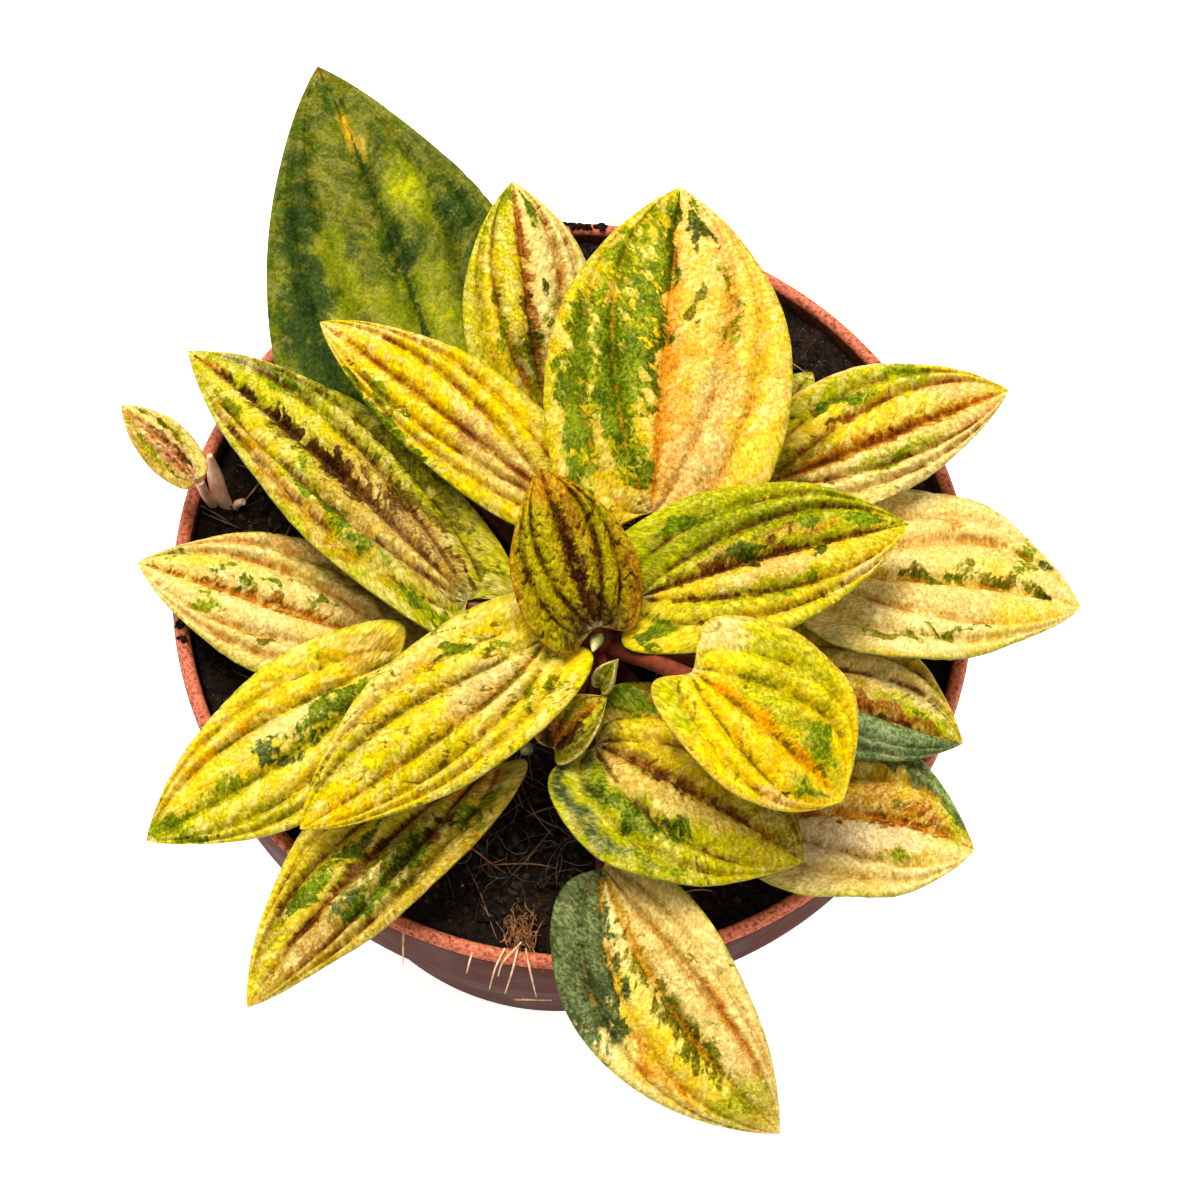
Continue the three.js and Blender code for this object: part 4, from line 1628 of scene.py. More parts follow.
# Every leaf as it lies in the pot, from the back round to the front, and how it is coloured.
LEAVES: tuple[Leaf, ...] = (
    Leaf(
        Blade(
            "old_leaf_back_left", (-12.4, 11.7, 69.6), (-26.9, 54.3, 73.5), 14.2, 15.0, root=66.5,
            widest=0.32, point=1.6, arch=2.0, cup=-1.0, roll=3.0, ridge=0.7, rib=0.1,
        ),
        Painting(
            left=Tint.MOSS, right=Tint.MOSS, band=Tint.OLD_GREEN, band_wide=0.03, valley=0.14,
            veins=Tint.DEEP_GREEN, vein_strength=0.35, cross_strength=0.15, rim=Tint.MOSS,
            cloud=Tint.OLD_GREEN, clouds=0.6, pale=0.1,
            washes=(
                Dab(Tint.STRAW, 0.1, 0.79, 0.12, 0.06, 0.8), Dab(Tint.SPRING, 0.4, 0.64, 0.22, 0.09, 0.9),
                Dab(Tint.SPRING, -0.4, 0.47, 0.16, 0.12, 0.9), Dab(Tint.SPRING, 0.2, 0.33, 0.2, 0.12, 0.9),
                Dab(Tint.SPRING, -0.15, 0.28, 0.12, 0.16, 0.75), Dab(Tint.BROWN, 0, 1.0, 0.5, 0.03),
                Dab(Tint.OLD_GREEN, -0.8, 0.75, 0.3, 0.2, 0.75),
            ),
            sectors=(
                Dab(Tint.LIME, 0.38, 0.64, 0.14, 0.05, 0.55), Dab(Tint.SPRING, -0.42, 0.48, 0.12, 0.08, 0.6),
                Dab(Tint.LIME, 0.25, 0.33, 0.14, 0.08, 0.5), Dab(Tint.GOLD, 0.1, 0.8, 0.07, 0.035, 0.65),
                Dab(Tint.OLD_GREEN, -0.7, 0.45, 0.2, 0.4, 0.85),
                Dab(Tint.OLD_GREEN, 0.1, 0.5, 0.16, 0.1, 0.75),
                Dab(Tint.OLD_GREEN, 0.7, 0.5, 0.2, 0.2, 0.75),
                Dab(Tint.OLD_GREEN, -0.1, 0.93, 0.5, 0.05, 0.75),
            ),
        ),
        Slot.OLD_LEAF,
    ),
    Leaf(
        Blade(
            "narrow_leaf_back", (-3.0, 15.5, 73.8), (-6.7, 37.7, 80.5), 7.6, 6.6, root=67.5, roll=6.0,
            rib=-0.1,
        ),
        Painting(
            right=Tint.CREAM, band=Tint.RUST, band_wide=0.12, band_from=0.25, band_strength=0.7,
            washes=(
                Dab(Tint.LIME, -0.75, 0.85, 0.4, 0.14), Dab(Tint.SPRING, 0.35, 0.86, 0.2, 0.08, 0.8),
                Dab(Tint.LIME, -0.35, 0.55, 0.14, 0.25, 0.5), Dab(Tint.OLIVE, -0.2, 0.22, 0.25, 0.14),
                Dab(Tint.OCHRE, 0.5, 0.7, 0.08, 0.2, 0.6), Dab(Tint.LIME, -0.85, 0.45, 0.15, 0.3, 0.7),
            ),
            sectors=(
                Dab(Tint.GREEN, 0.33, 0.86, 0.15, 0.07), Dab(Tint.SPRING, -0.55, 0.94, 0.35, 0.05),
                Dab(Tint.DEEP_GREEN, -0.14, 0.28, 0.1, 0.15, 0.8),
                Dab(Tint.DEEP_GREEN, 0.15, 0.5, 0.09, 0.03), Dab(Tint.SPRING, -0.5, 0.45, 0.08, 0.15, 0.7),
                Dab(Tint.GREEN, 0.2, 0.36, 0.1, 0.08, 0.6), Dab(Tint.BROWN, -0.12, 0.45, 0.06, 0.25, 0.6),
                Dab(Tint.CREAM, 0.5, 0.6, 0.2, 0.15, 0.6),
            ),
        ),
    ),
    Leaf(
        Blade(
            "broad_leaf_back", (7.1, 2.4, 79.5), (9.6, 33.4, 88.0), 11.5, 12.4, root=74.0, widest=0.4,
            point=2.1, arch=3.0, ridge=1.2,
        ),
        Painting(
            right=Tint.PEACH, band=Tint.APRICOT, band_wide=0.05, valley=0.28, veins=Tint.OCHRE,
            vein_strength=0.75, net=Tint.OCHRE,
            washes=(
                Dab(Tint.LIME, -0.85, 0.5, 0.2, 0.5, 0.7), Dab(Tint.APRICOT, 0.12, 0.4, 0.12, 0.35, 0.75),
                Dab(Tint.BUTTER, 0.8, 0.4, 0.22, 0.4, 0.8), Dab(Tint.LIME, -0.45, 0.5, 0.3, 0.45, 0.62),
                Dab(Tint.OCHRE, 0.52, 0.5, 0.05, 0.3, 0.7, 0.2), Dab(Tint.BUTTER, 0.3, 0.6, 0.2, 0.3, 0.5),
                Dab(Tint.SPRING, -0.3, 0.93, 0.3, 0.05, 0.6),
            ),
            sectors=(
                Dab(Tint.DEEP_GREEN, -0.05, 0.82, 0.075, 0.2),
                Dab(Tint.DEEP_GREEN, -0.1, 0.47, 0.06, 0.2, 0.8),
                Dab(Tint.GREEN, -0.42, 0.38, 0.17, 0.27, 1.0, -0.5),
                Dab(Tint.DEEP_GREEN, -0.5, 0.42, 0.07, 0.16, 0.8, -0.4),
                Dab(Tint.DEEP_GREEN, 0.36, 0.87, 0.2, 0.05), Dab(Tint.SPRING, -0.6, 0.78, 0.3, 0.16, 0.7),
                Dab(Tint.GREEN, -0.75, 0.4, 0.14, 0.34, 0.85), Dab(Tint.GREEN, -0.22, 0.6, 0.2, 0.34, 0.72),
                Dab(Tint.GREEN, -0.2, 0.14, 0.16, 0.1, 0.6, -0.5),
                Dab(Tint.SPRING, 0.56, 0.62, 0.07, 0.16, 0.65), Dab(Tint.OLIVE, 0.22, 0.62, 0.06, 0.1, 0.62),
                Dab(Tint.CREAM, 0.4, 0.3, 0.14, 0.16, 0.65), Dab(Tint.GREEN, 0.55, 0.95, 0.2, 0.03, 0.6),
            ),
        ),
    ),
    Leaf(
        Blade(
            "upper_leaf_left", (-2.1, 4.2, 77.5), (-25.5, 21.8, 80.5), 5.6, 6.2, root=72.0, roll=-6.0,
            rib=-0.08,
        ),
        Painting(
            left=Tint.YELLOW, right=Tint.YELLOW, band_wide=0.26, band_strength=0.6, valley=0.22, clouds=0.15,
            washes=(
                Dab(Tint.PALE, -0.2, 0.97, 0.7, 0.06, 0.9), Dab(Tint.CREAM, -0.2, 0.22, 0.4, 0.15, 0.7),
                Dab(Tint.PEACH, 0.85, 0.75, 0.14, 0.14, 0.6), Dab(Tint.CREAM, 0.6, 0.85, 0.2, 0.1, 0.5),
            ),
            sectors=(
                Dab(Tint.RUST, -0.12, 0.5, 0.16, 0.45, 0.5), Dab(Tint.RUST, 0.1, 0.3, 0.2, 0.2, 0.45),
                Dab(Tint.SPRING, -0.6, 0.66, 0.14, 0.14, 0.85), Dab(Tint.CREAM, 0, 0.3, 0.35, 0.2, 0.5),
                Dab(Tint.YELLOW, -0.1, 0.62, 0.3, 0.2, 0.45), Dab(Tint.GREEN, -0.95, 0.62, 0.12, 0.22, 0.9),
                Dab(Tint.CREAM, 0.1, 0.75, 0.12, 0.1, 0.45),
            ),
        ),
    ),
    Leaf(
        Blade(
            "long_leaf_left", (-10.6, -5.0, 74.5), (-38.7, 20.8, 75.5), 7.8, 7.2, root=70.5, arch=3.0,
            roll=8.0, rib=-0.08,
        ),
        Painting(
            left=Tint.LIME, right=Tint.LIME, band=Tint.BROWN, band_wide=0.17, band_from=0.5,
            band_strength=0.7, valley=0.28, veins=Tint.BROWN, vein_strength=0.95, cloud=Tint.STRAW,
            washes=(
                Dab(Tint.TAN, -0.05, 0.25, 0.5, 0.25), Dab(Tint.STRAW, -0.15, 0.3, 0.25, 0.25, 0.6),
                Dab(Tint.OCHRE, -0.8, 0.55, 0.14, 0.3, 0.7), Dab(Tint.OCHRE, -0.05, 0.93, 0.16, 0.07),
                Dab(Tint.SILVER, 0.75, 0.83, 0.2, 0.08, 0.7), Dab(Tint.BUTTER, -0.45, 0.75, 0.16, 0.2, 0.8),
                Dab(Tint.OLIVE, 0.8, 0.65, 0.2, 0.2, 0.5), Dab(Tint.BUTTER, 0.25, 0.6, 0.12, 0.2, 0.6),
            ),
            sectors=(
                Dab(Tint.UMBER, -0.08, 0.74, 0.15, 0.16, 0.66), Dab(Tint.BROWN, -0.2, 0.62, 0.16, 0.2, 0.5),
                Dab(Tint.UMBER, -0.05, 0.48, 0.2, 0.34, 0.68), Dab(Tint.BROWN, 0.05, 0.28, 0.25, 0.25, 0.62),
                Dab(Tint.GREEN, -0.55, 0.42, 0.11, 0.09, 0.9), Dab(Tint.SPRING, -0.6, 0.8, 0.12, 0.05, 0.9),
                Dab(Tint.GREEN, -0.35, 0.58, 0.06, 0.06, 0.8),
                Dab(Tint.GREEN, 0.55, 0.75, 0.22, 0.05, 0.95, -1.5),
                Dab(Tint.GREEN, 0.42, 0.5, 0.07, 0.25, 0.7), Dab(Tint.OLIVE, 0.8, 0.68, 0.18, 0.16, 0.6),
                Dab(Tint.CREAM, -0.15, 0.2, 0.4, 0.14, 0.5), Dab(Tint.SPRING, 0.45, 0.25, 0.14, 0.1, 0.6),
                Dab(Tint.UMBER, -0.3, 0.25, 0.05, 0.3, 0.6, 0.4), Dab(Tint.OLIVE, 0.7, 0.35, 0.16, 0.3, 0.7),
                Dab(Tint.GREEN, -0.75, 0.14, 0.25, 0.06, 0.65), Dab(Tint.BROWN, 0.4, 0.25, 0.07, 0.3, 0.7),
                Dab(Tint.GREEN, -0.5, 0.28, 0.08, 0.12, 0.6),
            ),
        ),
    ),
    Leaf(
        Blade("lower_leaf_left", (-16.0, -7.8, 68.6), (-43.2, 0.3, 70.0), 8.4, 6.8, root=66.5, rib=-0.14),
        Painting(
            left=Tint.CREAM, right=Tint.CREAM, band_from=0.3, band_strength=0.62, valley=0.18,
            veins=Tint.OCHRE, cloud=Tint.BUTTER,
            washes=(
                Dab(Tint.PEACH, 0.85, 0.6, 0.15, 0.35, 0.8), Dab(Tint.PEACH, -0.8, 0.6, 0.15, 0.2, 0.6),
                Dab(Tint.OLIVE, 0.52, 0.28, 0.1, 0.2, 0.7, 0.6),
                Dab(Tint.SPRING, 0.72, 0.14, 0.2, 0.12, 0.8), Dab(Tint.BUTTER, 0.35, 0.8, 0.2, 0.15, 0.7),
                Dab(Tint.TAN, 0.05, 0.2, 0.15, 0.15, 0.6),
            ),
            sectors=(
                Dab(Tint.SPRING, -0.48, 0.72, 0.15, 0.045, 0.9, -1),
                Dab(Tint.GREEN, 0.2, 0.7, 0.22, 0.025, 0.85, 4),
                Dab(Tint.GREEN, 0.05, 0.62, 0.09, 0.03, 0.8), Dab(Tint.GREEN, 0.15, 0.5, 0.07, 0.04, 0.75),
                Dab(Tint.GREEN, 0.1, 0.36, 0.1, 0.03, 0.75), Dab(Tint.OLIVE, 0.12, 0.42, 0.12, 0.2, 0.42),
                Dab(Tint.GREEN, 0.65, 0.87, 0.3, 0.02, 0.85, -4),
                Dab(Tint.OLIVE, -0.6, 0.5, 0.07, 0.05, 0.6), Dab(Tint.RUST, -0.1, 0.6, 0.1, 0.35, 0.42),
            ),
        ),
    ),
    Leaf(
        Blade(
            "leaf_front_left", (-17.2, -11.0, 74.0), (-40.9, -28.8, 71.5), 9.0, 6.5, root=69.5, base=0.9,
            roll=-6.0, rib=-0.24,
        ),
        Painting(
            band=Tint.LIME, valley=0.26, veins=Tint.OLIVE, vein_strength=0.75, net_strength=0.4,
            washes=(
                Dab(Tint.SPRING, 0.1, 0.97, 0.9, 0.06), Dab(Tint.LIME, -0.7, 0.75, 0.25, 0.2, 0.7),
                Dab(Tint.GOLD, 0.5, 0.55, 0.1, 0.3, 0.6, 0.5), Dab(Tint.CREAM, 0.1, 0.42, 0.16, 0.12, 0.9),
                Dab(Tint.LIME, -0.2, 0.75, 0.15, 0.16, 0.6), Dab(Tint.TAN, 0.5, 0.12, 0.3, 0.08, 0.6),
                Dab(Tint.YELLOW, 0.3, 0.3, 0.1, 0.2, 0.8, 0.4),
            ),
            sectors=(
                Dab(Tint.GREEN, -0.02, 0.26, 0.16, 0.14, 0.95),
                Dab(Tint.GREY_GREEN, -0.1, 0.3, 0.06, 0.12, 0.7),
                Dab(Tint.GREY_GREEN, -0.08, 0.53, 0.2, 0.045, 0.9, 1.5),
                Dab(Tint.GREY_GREEN, -0.25, 0.42, 0.06, 0.1, 0.7),
                Dab(Tint.SPRING, -0.3, 0.9, 0.5, 0.05, 0.75), Dab(Tint.GREEN, -0.85, 0.88, 0.12, 0.05, 0.8),
                Dab(Tint.SPRING, -0.1, 0.72, 0.14, 0.1, 0.5), Dab(Tint.GREEN, 0.1, 0.96, 0.4, 0.02, 0.7),
            ),
        ),
    ),
    Leaf(
        Blade(
            "upper_leaf_front_left", (-2.8, -11.4, 81.0), (-26.0, -29.5, 78.0), 7.5, 7.0, root=75.0,
            arch=2.6, rib=-0.28,
        ),
        Painting(
            left=Tint.YELLOW, right=Tint.YELLOW, band_wide=0.05, valley=0.3, veins=Tint.OLIVE,
            cross_strength=1.0,
            washes=(
                Dab(Tint.CREAM, -0.1, 0.25, 0.35, 0.16), Dab(Tint.BUTTER, -0.75, 0.35, 0.25, 0.3, 0.7),
                Dab(Tint.LIME, 0.5, 0.75, 0.25, 0.15, 0.7), Dab(Tint.TAN, -0.1, 0.3, 0.15, 0.12, 0.5),
                Dab(Tint.CREAM, 0.85, 0.5, 0.15, 0.3, 0.6), Dab(Tint.LIME, -0.4, 0.6, 0.3, 0.2, 0.5),
            ),
            sectors=(
                Dab(Tint.GREEN, 0.6, 0.29, 0.12, 0.045, 0.9, 0.8),
                Dab(Tint.SPRING, 0.3, 0.18, 0.1, 0.05, 0.6), Dab(Tint.SPRING, -0.6, 0.2, 0.14, 0.06, 0.5),
                Dab(Tint.SPRING, 0.85, 0.85, 0.12, 0.06, 0.5),
            ),
        ),
    ),
    Leaf(
        Blade(
            "lower_leaf_front_left", (-8.3, -20.8, 71.7), (-30.9, -44.3, 69.0), 5.6, 8.0, root=68.5,
            arch=2.6, roll=6.0, rib=0.12,
        ),
        Painting(
            left=Tint.STRAW, band=Tint.RUST, band_wide=0.05, valley=0.15, veins=Tint.BROWN,
            vein_strength=0.9, rim=Tint.STRAW,
            washes=(
                Dab(Tint.TAN, -0.3, 0.75, 0.4, 0.14), Dab(Tint.OLIVE, -0.3, 0.45, 0.45, 0.2),
                Dab(Tint.OLIVE, 0.6, 0.75, 0.2, 0.2, 0.6), Dab(Tint.OCHRE, -0.2, 0.1, 0.5, 0.06),
            ),
            sectors=(
                Dab(Tint.GREEN, -0.4, 0.55, 0.22, 0.1, 0.85),
                Dab(Tint.DEEP_GREEN, -0.3, 0.38, 0.22, 0.1, 0.8, -1),
                Dab(Tint.GREY_GREEN, -0.2, 0.62, 0.2, 0.08, 0.7),
                Dab(Tint.BROWN, -0.42, 0.3, 0.14, 0.05, 0.85),
                Dab(Tint.GREEN, -0.6, 0.2, 0.3, 0.06, 0.7, -2),
                Dab(Tint.UMBER, -0.35, 0.25, 0.3, 0.03, 0.7, -3),
                Dab(Tint.GREEN, 0.42, 0.65, 0.13, 0.14, 0.95, 0.4),
                Dab(Tint.DEEP_GREEN, 0.3, 0.45, 0.08, 0.1, 0.8), Dab(Tint.BROWN, 0.1, 0.55, 0.07, 0.4, 0.65),
                Dab(Tint.CREAM, -0.3, 0.85, 0.4, 0.06, 0.5), Dab(Tint.CREAM, -0.1, 0.5, 0.3, 0.05, 0.5, -3),
            ),
        ),
    ),
    Leaf(
        Blade(
            "centre_leaf", (1.6, -11.0, 83.5), (-4.0, 2.1, 91.0), 6.6, 5.6, root=78.0, widest=0.36, arch=1.0,
            cup=0.8, ridge=0.9, rib=-0.04,
        ),
        Painting(
            left=Tint.MUSTARD, right=Tint.MUSTARD, band=Tint.BROWN, band_wide=0.16, valley=0.4, pale=0.0,
            veins=Tint.UMBER, vein_strength=1.0, cross_strength=0.85, rim=Tint.OCHRE,
            washes=(
                Dab(Tint.LIME, -0.5, 0.45, 0.2, 0.3, 0.45), Dab(Tint.LIME, 0.45, 0.4, 0.16, 0.3, 0.4),
                Dab(Tint.OCHRE, 0.1, 0.9, 0.9, 0.1, 0.8), Dab(Tint.UMBER, 0, 0.04, 0.9, 0.13),
                Dab(Tint.RUST, 0.9, 0.3, 0.1, 0.3, 0.6), Dab(Tint.RUST, 0.3, 0.6, 0.14, 0.3, 0.4),
            ),
            sectors=(
                Dab(Tint.BROWN, -0.02, 0.5, 0.12, 0.6, 0.6), Dab(Tint.UMBER, 0, 0.25, 0.17, 0.4, 0.8),
                Dab(Tint.UMBER, -0.1, 0.08, 0.8, 0.12, 0.65),
            ),
        ),
    ),
    Leaf(
        Blade(
            "upper_leaf_right", (5.9, -7.2, 81.8), (31.4, -0.3, 84.2), 7.6, 7.8, root=75.5, lobe=0.2,
            roll=5.0, rib=0.02,
        ),
        Painting(
            left=Tint.LIME, band=Tint.BROWN, band_wide=0.07, valley=0.36, pale=0.1, veins=Tint.BROWN,
            vein_strength=1.0,
            washes=(
                Dab(Tint.PEACH, 0.22, 0.48, 0.14, 0.2, 0.9), Dab(Tint.LIME, 0.45, 0.4, 0.16, 0.25, 0.8),
                Dab(Tint.OCHRE, -0.25, 0.6, 0.1, 0.2, 0.7), Dab(Tint.TAN, -0.1, 0.3, 0.15, 0.1, 0.8),
                Dab(Tint.BUTTER, -0.4, 0.9, 0.4, 0.05, 0.8), Dab(Tint.CREAM, 0.8, 0.8, 0.1, 0.12, 0.9),
                Dab(Tint.SPRING, -0.5, 0.4, 0.25, 0.35, 0.7),
            ),
            sectors=(
                Dab(Tint.GREEN, -0.4, 0.85, 0.2, 0.08, 0.9),
                Dab(Tint.DEEP_GREEN, 0.14, 0.68, 0.11, 0.045, 0.95),
                Dab(Tint.GREEN, -0.35, 0.68, 0.12, 0.1, 0.6),
                Dab(Tint.DEEP_GREEN, -0.1, 0.4, 0.1, 0.1, 0.85),
                Dab(Tint.BROWN, -0.12, 0.52, 0.12, 0.08, 0.75, -1.5),
                Dab(Tint.BROWN, 0.02, 0.45, 0.08, 0.2, 0.7), Dab(Tint.GREEN, -0.7, 0.3, 0.08, 0.12, 0.7),
                Dab(Tint.GREEN, 0.7, 0.13, 0.25, 0.05, 0.95, 2),
                Dab(Tint.BROWN, -0.05, 0.2, 0.12, 0.15, 0.65), Dab(Tint.CREAM, 0.2, 0.3, 0.12, 0.08, 0.5),
                Dab(Tint.GREEN, -0.1, 0.93, 0.4, 0.03, 0.5), Dab(Tint.SPRING, 0.5, 0.55, 0.1, 0.1, 0.55),
            ),
        ),
    ),
    Leaf(
        Blade(
            "leaf_back_right", (19.0, 7.4, 75.5), (42.4, 16.1, 79.5), 7.2, 6.6, root=70.0, roll=4.0,
            rib=0.12,
        ),
        Painting(
            right=Tint.CREAM, band_wide=0.17, vein_strength=0.9, rim=Tint.CREAM,
            washes=(
                Dab(Tint.PEACH, -0.4, 0.8, 0.3, 0.12), Dab(Tint.PEACH, 0.6, 0.85, 0.3, 0.1, 0.8),
                Dab(Tint.APRICOT, 0.12, 0.85, 0.14, 0.12), Dab(Tint.OLIVE, -0.05, 0.15, 0.3, 0.15, 0.8),
                Dab(Tint.LIME, -0.75, 0.5, 0.2, 0.3), Dab(Tint.LIME, 0.45, 0.5, 0.14, 0.2, 0.8),
            ),
            sectors=(
                Dab(Tint.SPRING, -0.8, 0.66, 0.16, 0.1, 0.9),
                Dab(Tint.GREEN, -0.6, 0.38, 0.08, 0.16, 0.8, 0.5), Dab(Tint.RUST, 0.1, 0.6, 0.1, 0.3, 0.55),
                Dab(Tint.SPRING, 0.5, 0.5, 0.1, 0.1, 0.75), Dab(Tint.GREEN, 0.52, 0.47, 0.06, 0.05, 0.8),
                Dab(Tint.RUST, -0.35, 0.35, 0.05, 0.3, 0.6, -0.3), Dab(Tint.CREAM, 0.3, 0.3, 0.1, 0.14, 0.6),
                Dab(Tint.OLIVE, 0.3, 0.2, 0.2, 0.1, 0.5),
            ),
        ),
    ),
    Leaf(
        Blade(
            "leaf_right", (24.1, -1.7, 73.5), (49.3, -5.0, 75.0), 9.6, 9.2, root=69.0, roll=-6.0, rib=0.04,
        ),
        Painting(
            left=Tint.CREAM, right=Tint.CREAM, band=Tint.STRAW, valley=0.18, veins=Tint.OCHRE,
            vein_strength=0.75, net_strength=0.4, cloud=Tint.BUTTER,
            washes=(
                Dab(Tint.PEACH, -0.5, 0.45, 0.3, 0.25, 0.7), Dab(Tint.PEACH, 0.3, 0.5, 0.15, 0.3, 0.7),
                Dab(Tint.BUTTER, 0.5, 0.8, 0.3, 0.14, 0.7), Dab(Tint.BUTTER, -0.2, 0.7, 0.15, 0.1, 0.6),
                Dab(Tint.OCHRE, -0.55, 0.55, 0.05, 0.2, 0.6, 0.7),
            ),
            sectors=(
                Dab(Tint.SPRING, -0.5, 0.78, 0.42, 0.035, 0.72, -5),
                Dab(Tint.DEEP_GREEN, -0.02, 0.86, 0.08, 0.04, 0.9),
                Dab(Tint.OLIVE, -0.06, 0.7, 0.1, 0.14, 0.75), Dab(Tint.GREEN, 0.02, 0.5, 0.08, 0.1, 0.75),
                Dab(Tint.OLIVE, 0, 0.38, 0.07, 0.14, 0.8), Dab(Tint.GREEN, 0.68, 0.52, 0.04, 0.12, 0.85),
                Dab(Tint.OLIVE, 0.75, 0.35, 0.08, 0.2, 0.6),
                Dab(Tint.GREY_GREEN, -0.75, 0.86, 0.18, 0.025, 0.8),
                Dab(Tint.OLIVE, -0.1, 0.6, 0.14, 0.2, 0.4),
            ),
        ),
    ),
    Leaf(
        Blade(
            "lower_leaf_right", (19.7, -10.2, 70.7), (37.7, -18.0, 71.5), 6.8, 7.8, root=67.5, arch=1.8,
            roll=-6.0, rib=0.24,
        ),
        Painting(
            left=Tint.STRAW, right=Tint.SAGE, band=Tint.RUST, band_wide=0.03, valley=0.21, veins=Tint.BROWN,
            pale=0.25,
            washes=(
                Dab(Tint.LIME, -0.1, 0.9, 0.4, 0.08), Dab(Tint.CREAM, -0.4, 0.55, 0.3, 0.3),
                Dab(Tint.LIME, -0.05, 0.7, 0.14, 0.16), Dab(Tint.RUST, 0.12, 0.62, 0.08, 0.3, 0.8),
                Dab(Tint.SILVER, -0.3, 0.65, 0.12, 0.2, 0.5),
            ),
            sectors=(
                Dab(Tint.SAGE, 0.72, 0.5, 0.34, 0.8, 1.4), Dab(Tint.DEEP_GREEN, 0.3, 0.5, 0.03, 0.5, 0.8),
                Dab(Tint.GREEN, -0.02, 0.75, 0.08, 0.08, 0.7),
                Dab(Tint.GREY_GREEN, -0.5, 0.85, 0.08, 0.1, 0.6), Dab(Tint.RUST, 0.14, 0.55, 0.1, 0.3, 0.6),
            ),
        ),
    ),
    Leaf(
        Blade(
            "lower_leaf_front_right", (17.5, -25.8, 68.8), (38.7, -28.2, 69.5), 10.3, 7.2, root=66.5,
            point=2.4, arch=1.6, roll=-5.0, rib=-0.15,
        ),
        Painting(
            left=Tint.STRAW, right=Tint.CREAM, band_wide=0.06, valley=0.14, veins=Tint.OCHRE,
            vein_strength=0.75, net_strength=0.4, cloud=Tint.BUTTER,
            washes=(
                Dab(Tint.OCHRE, -0.35, 0.62, 0.16, 0.3, 0.8), Dab(Tint.SHELL, 0.2, 0.4, 0.35, 0.35, 0.6),
                Dab(Tint.LIME, -0.4, 0.93, 0.5, 0.05, 0.8), Dab(Tint.STRAW, 0.4, 0.65, 0.1, 0.2, 0.7),
            ),
            sectors=(
                Dab(Tint.SAGE, -0.92, 0.7, 0.24, 0.28, 1.2, 0.2),
                Dab(Tint.GREEN, -0.75, 0.88, 0.3, 0.05, 0.8), Dab(Tint.RUST, -0.3, 0.75, 0.14, 0.1, 0.5),
                Dab(Tint.SPRING, 0.4, 0.62, 0.09, 0.18, 0.5), Dab(Tint.RUST, -0.12, 0.65, 0.06, 0.3, 0.65),
            ),
        ),
    ),
    Leaf(
        Blade(
            "cupped_leaf_front_right", (10.4, -16.2, 86.0), (24.5, -27.7, 83.0), 8.5, 7.6, root=76.5,
            widest=0.44, lobe=0.2, point=2.6, cup=1.6, rib=0.04,
        ),
        Painting(
            left=Tint.YELLOW, right=Tint.YELLOW, band=Tint.GOLD, band_wide=0.14, veins=Tint.OLIVE,
            vein_strength=0.9, rim=Tint.STRAW, net_strength=0.4, pale=0.1, rim_wide=0.07,
            washes=(
                Dab(Tint.APRICOT, 0.02, 0.42, 0.1, 0.16, 0.7),
                Dab(Tint.SPRING, -0.25, 0.72, 0.2, 0.18, 0.85),
                Dab(Tint.SPRING, 0.42, 0.82, 0.16, 0.11, 0.8), Dab(Tint.LIME, -0.22, 0.38, 0.22, 0.2, 0.85),
                Dab(Tint.LIME, -0.75, 0.3, 0.25, 0.35, 0.85), Dab(Tint.CREAM, -0.85, 0.12, 0.3, 0.08),
                Dab(Tint.LIME, 0.85, 0.16, 0.3, 0.14, 0.9), Dab(Tint.GOLD, 0.3, 0.5, 0.12, 0.25, 0.5),
                Dab(Tint.PEACH, 0.8, 0.75, 0.15, 0.1, 0.8),
            ),
            sectors=(
                Dab(Tint.SPRING, -0.27, 0.72, 0.16, 0.14, 0.75),
                Dab(Tint.GREEN, -0.27, 0.7, 0.16, 0.1, 0.85), Dab(Tint.GREEN, 0.42, 0.83, 0.1, 0.06, 0.8),
                Dab(Tint.OLIVE, 0.02, 0.6, 0.08, 0.06, 0.7), Dab(Tint.UMBER, 0.63, 0.77, 0.05, 0.014),
                Dab(Tint.SPRING, -0.2, 0.42, 0.14, 0.12, 0.45),
                Dab(Tint.SPRING, 0.45, 0.35, 0.14, 0.08, 0.42), Dab(Tint.OLIVE, 0, 0.85, 0.08, 0.1, 0.55),
            ),
        ),
    ),
    Leaf(
        Blade(
            "leaf_front", (1.8, -19.9, 75.2), (21.6, -31.2, 75.0), 8.8, 10.7, root=72.0, base=0.7, lobe=0.18,
            roll=-4.0, rib=0.03,
        ),
        Painting(
            left=Tint.MUSTARD, right=Tint.LIME, band=Tint.RUST, band_wide=0.09, band_strength=0.65,
            valley=0.15, veins=Tint.BROWN, pale=0.25,
            washes=(
                Dab(Tint.YELLOW, 0.5, 0.75, 0.5, 0.2, 0.7), Dab(Tint.PEACH, 0.2, 0.35, 0.14, 0.4, 0.7),
                Dab(Tint.YELLOW, -0.15, 0.45, 0.14, 0.25, 0.8), Dab(Tint.LIME, 0.6, 0.6, 0.3, 0.25, 0.7),
                Dab(Tint.BUTTER, -0.4, 0.2, 0.25, 0.1, 0.8),
                Dab(Tint.GREEN, 0.5, 0.18, 0.13, 0.32, 0.95, 0.2),
                Dab(Tint.GREY_GREEN, 0.86, 0.16, 0.1, 0.32, 0.95), Dab(Tint.LIME, 0.7, 0.2, 0.07, 0.35, 0.8),
                Dab(Tint.TAN, 0.05, 0.12, 0.2, 0.08, 0.7),
            ),
            sectors=(
                Dab(Tint.DEEP_GREEN, 0.45, 0.46, 0.12, 0.1, 0.75, 0.3),
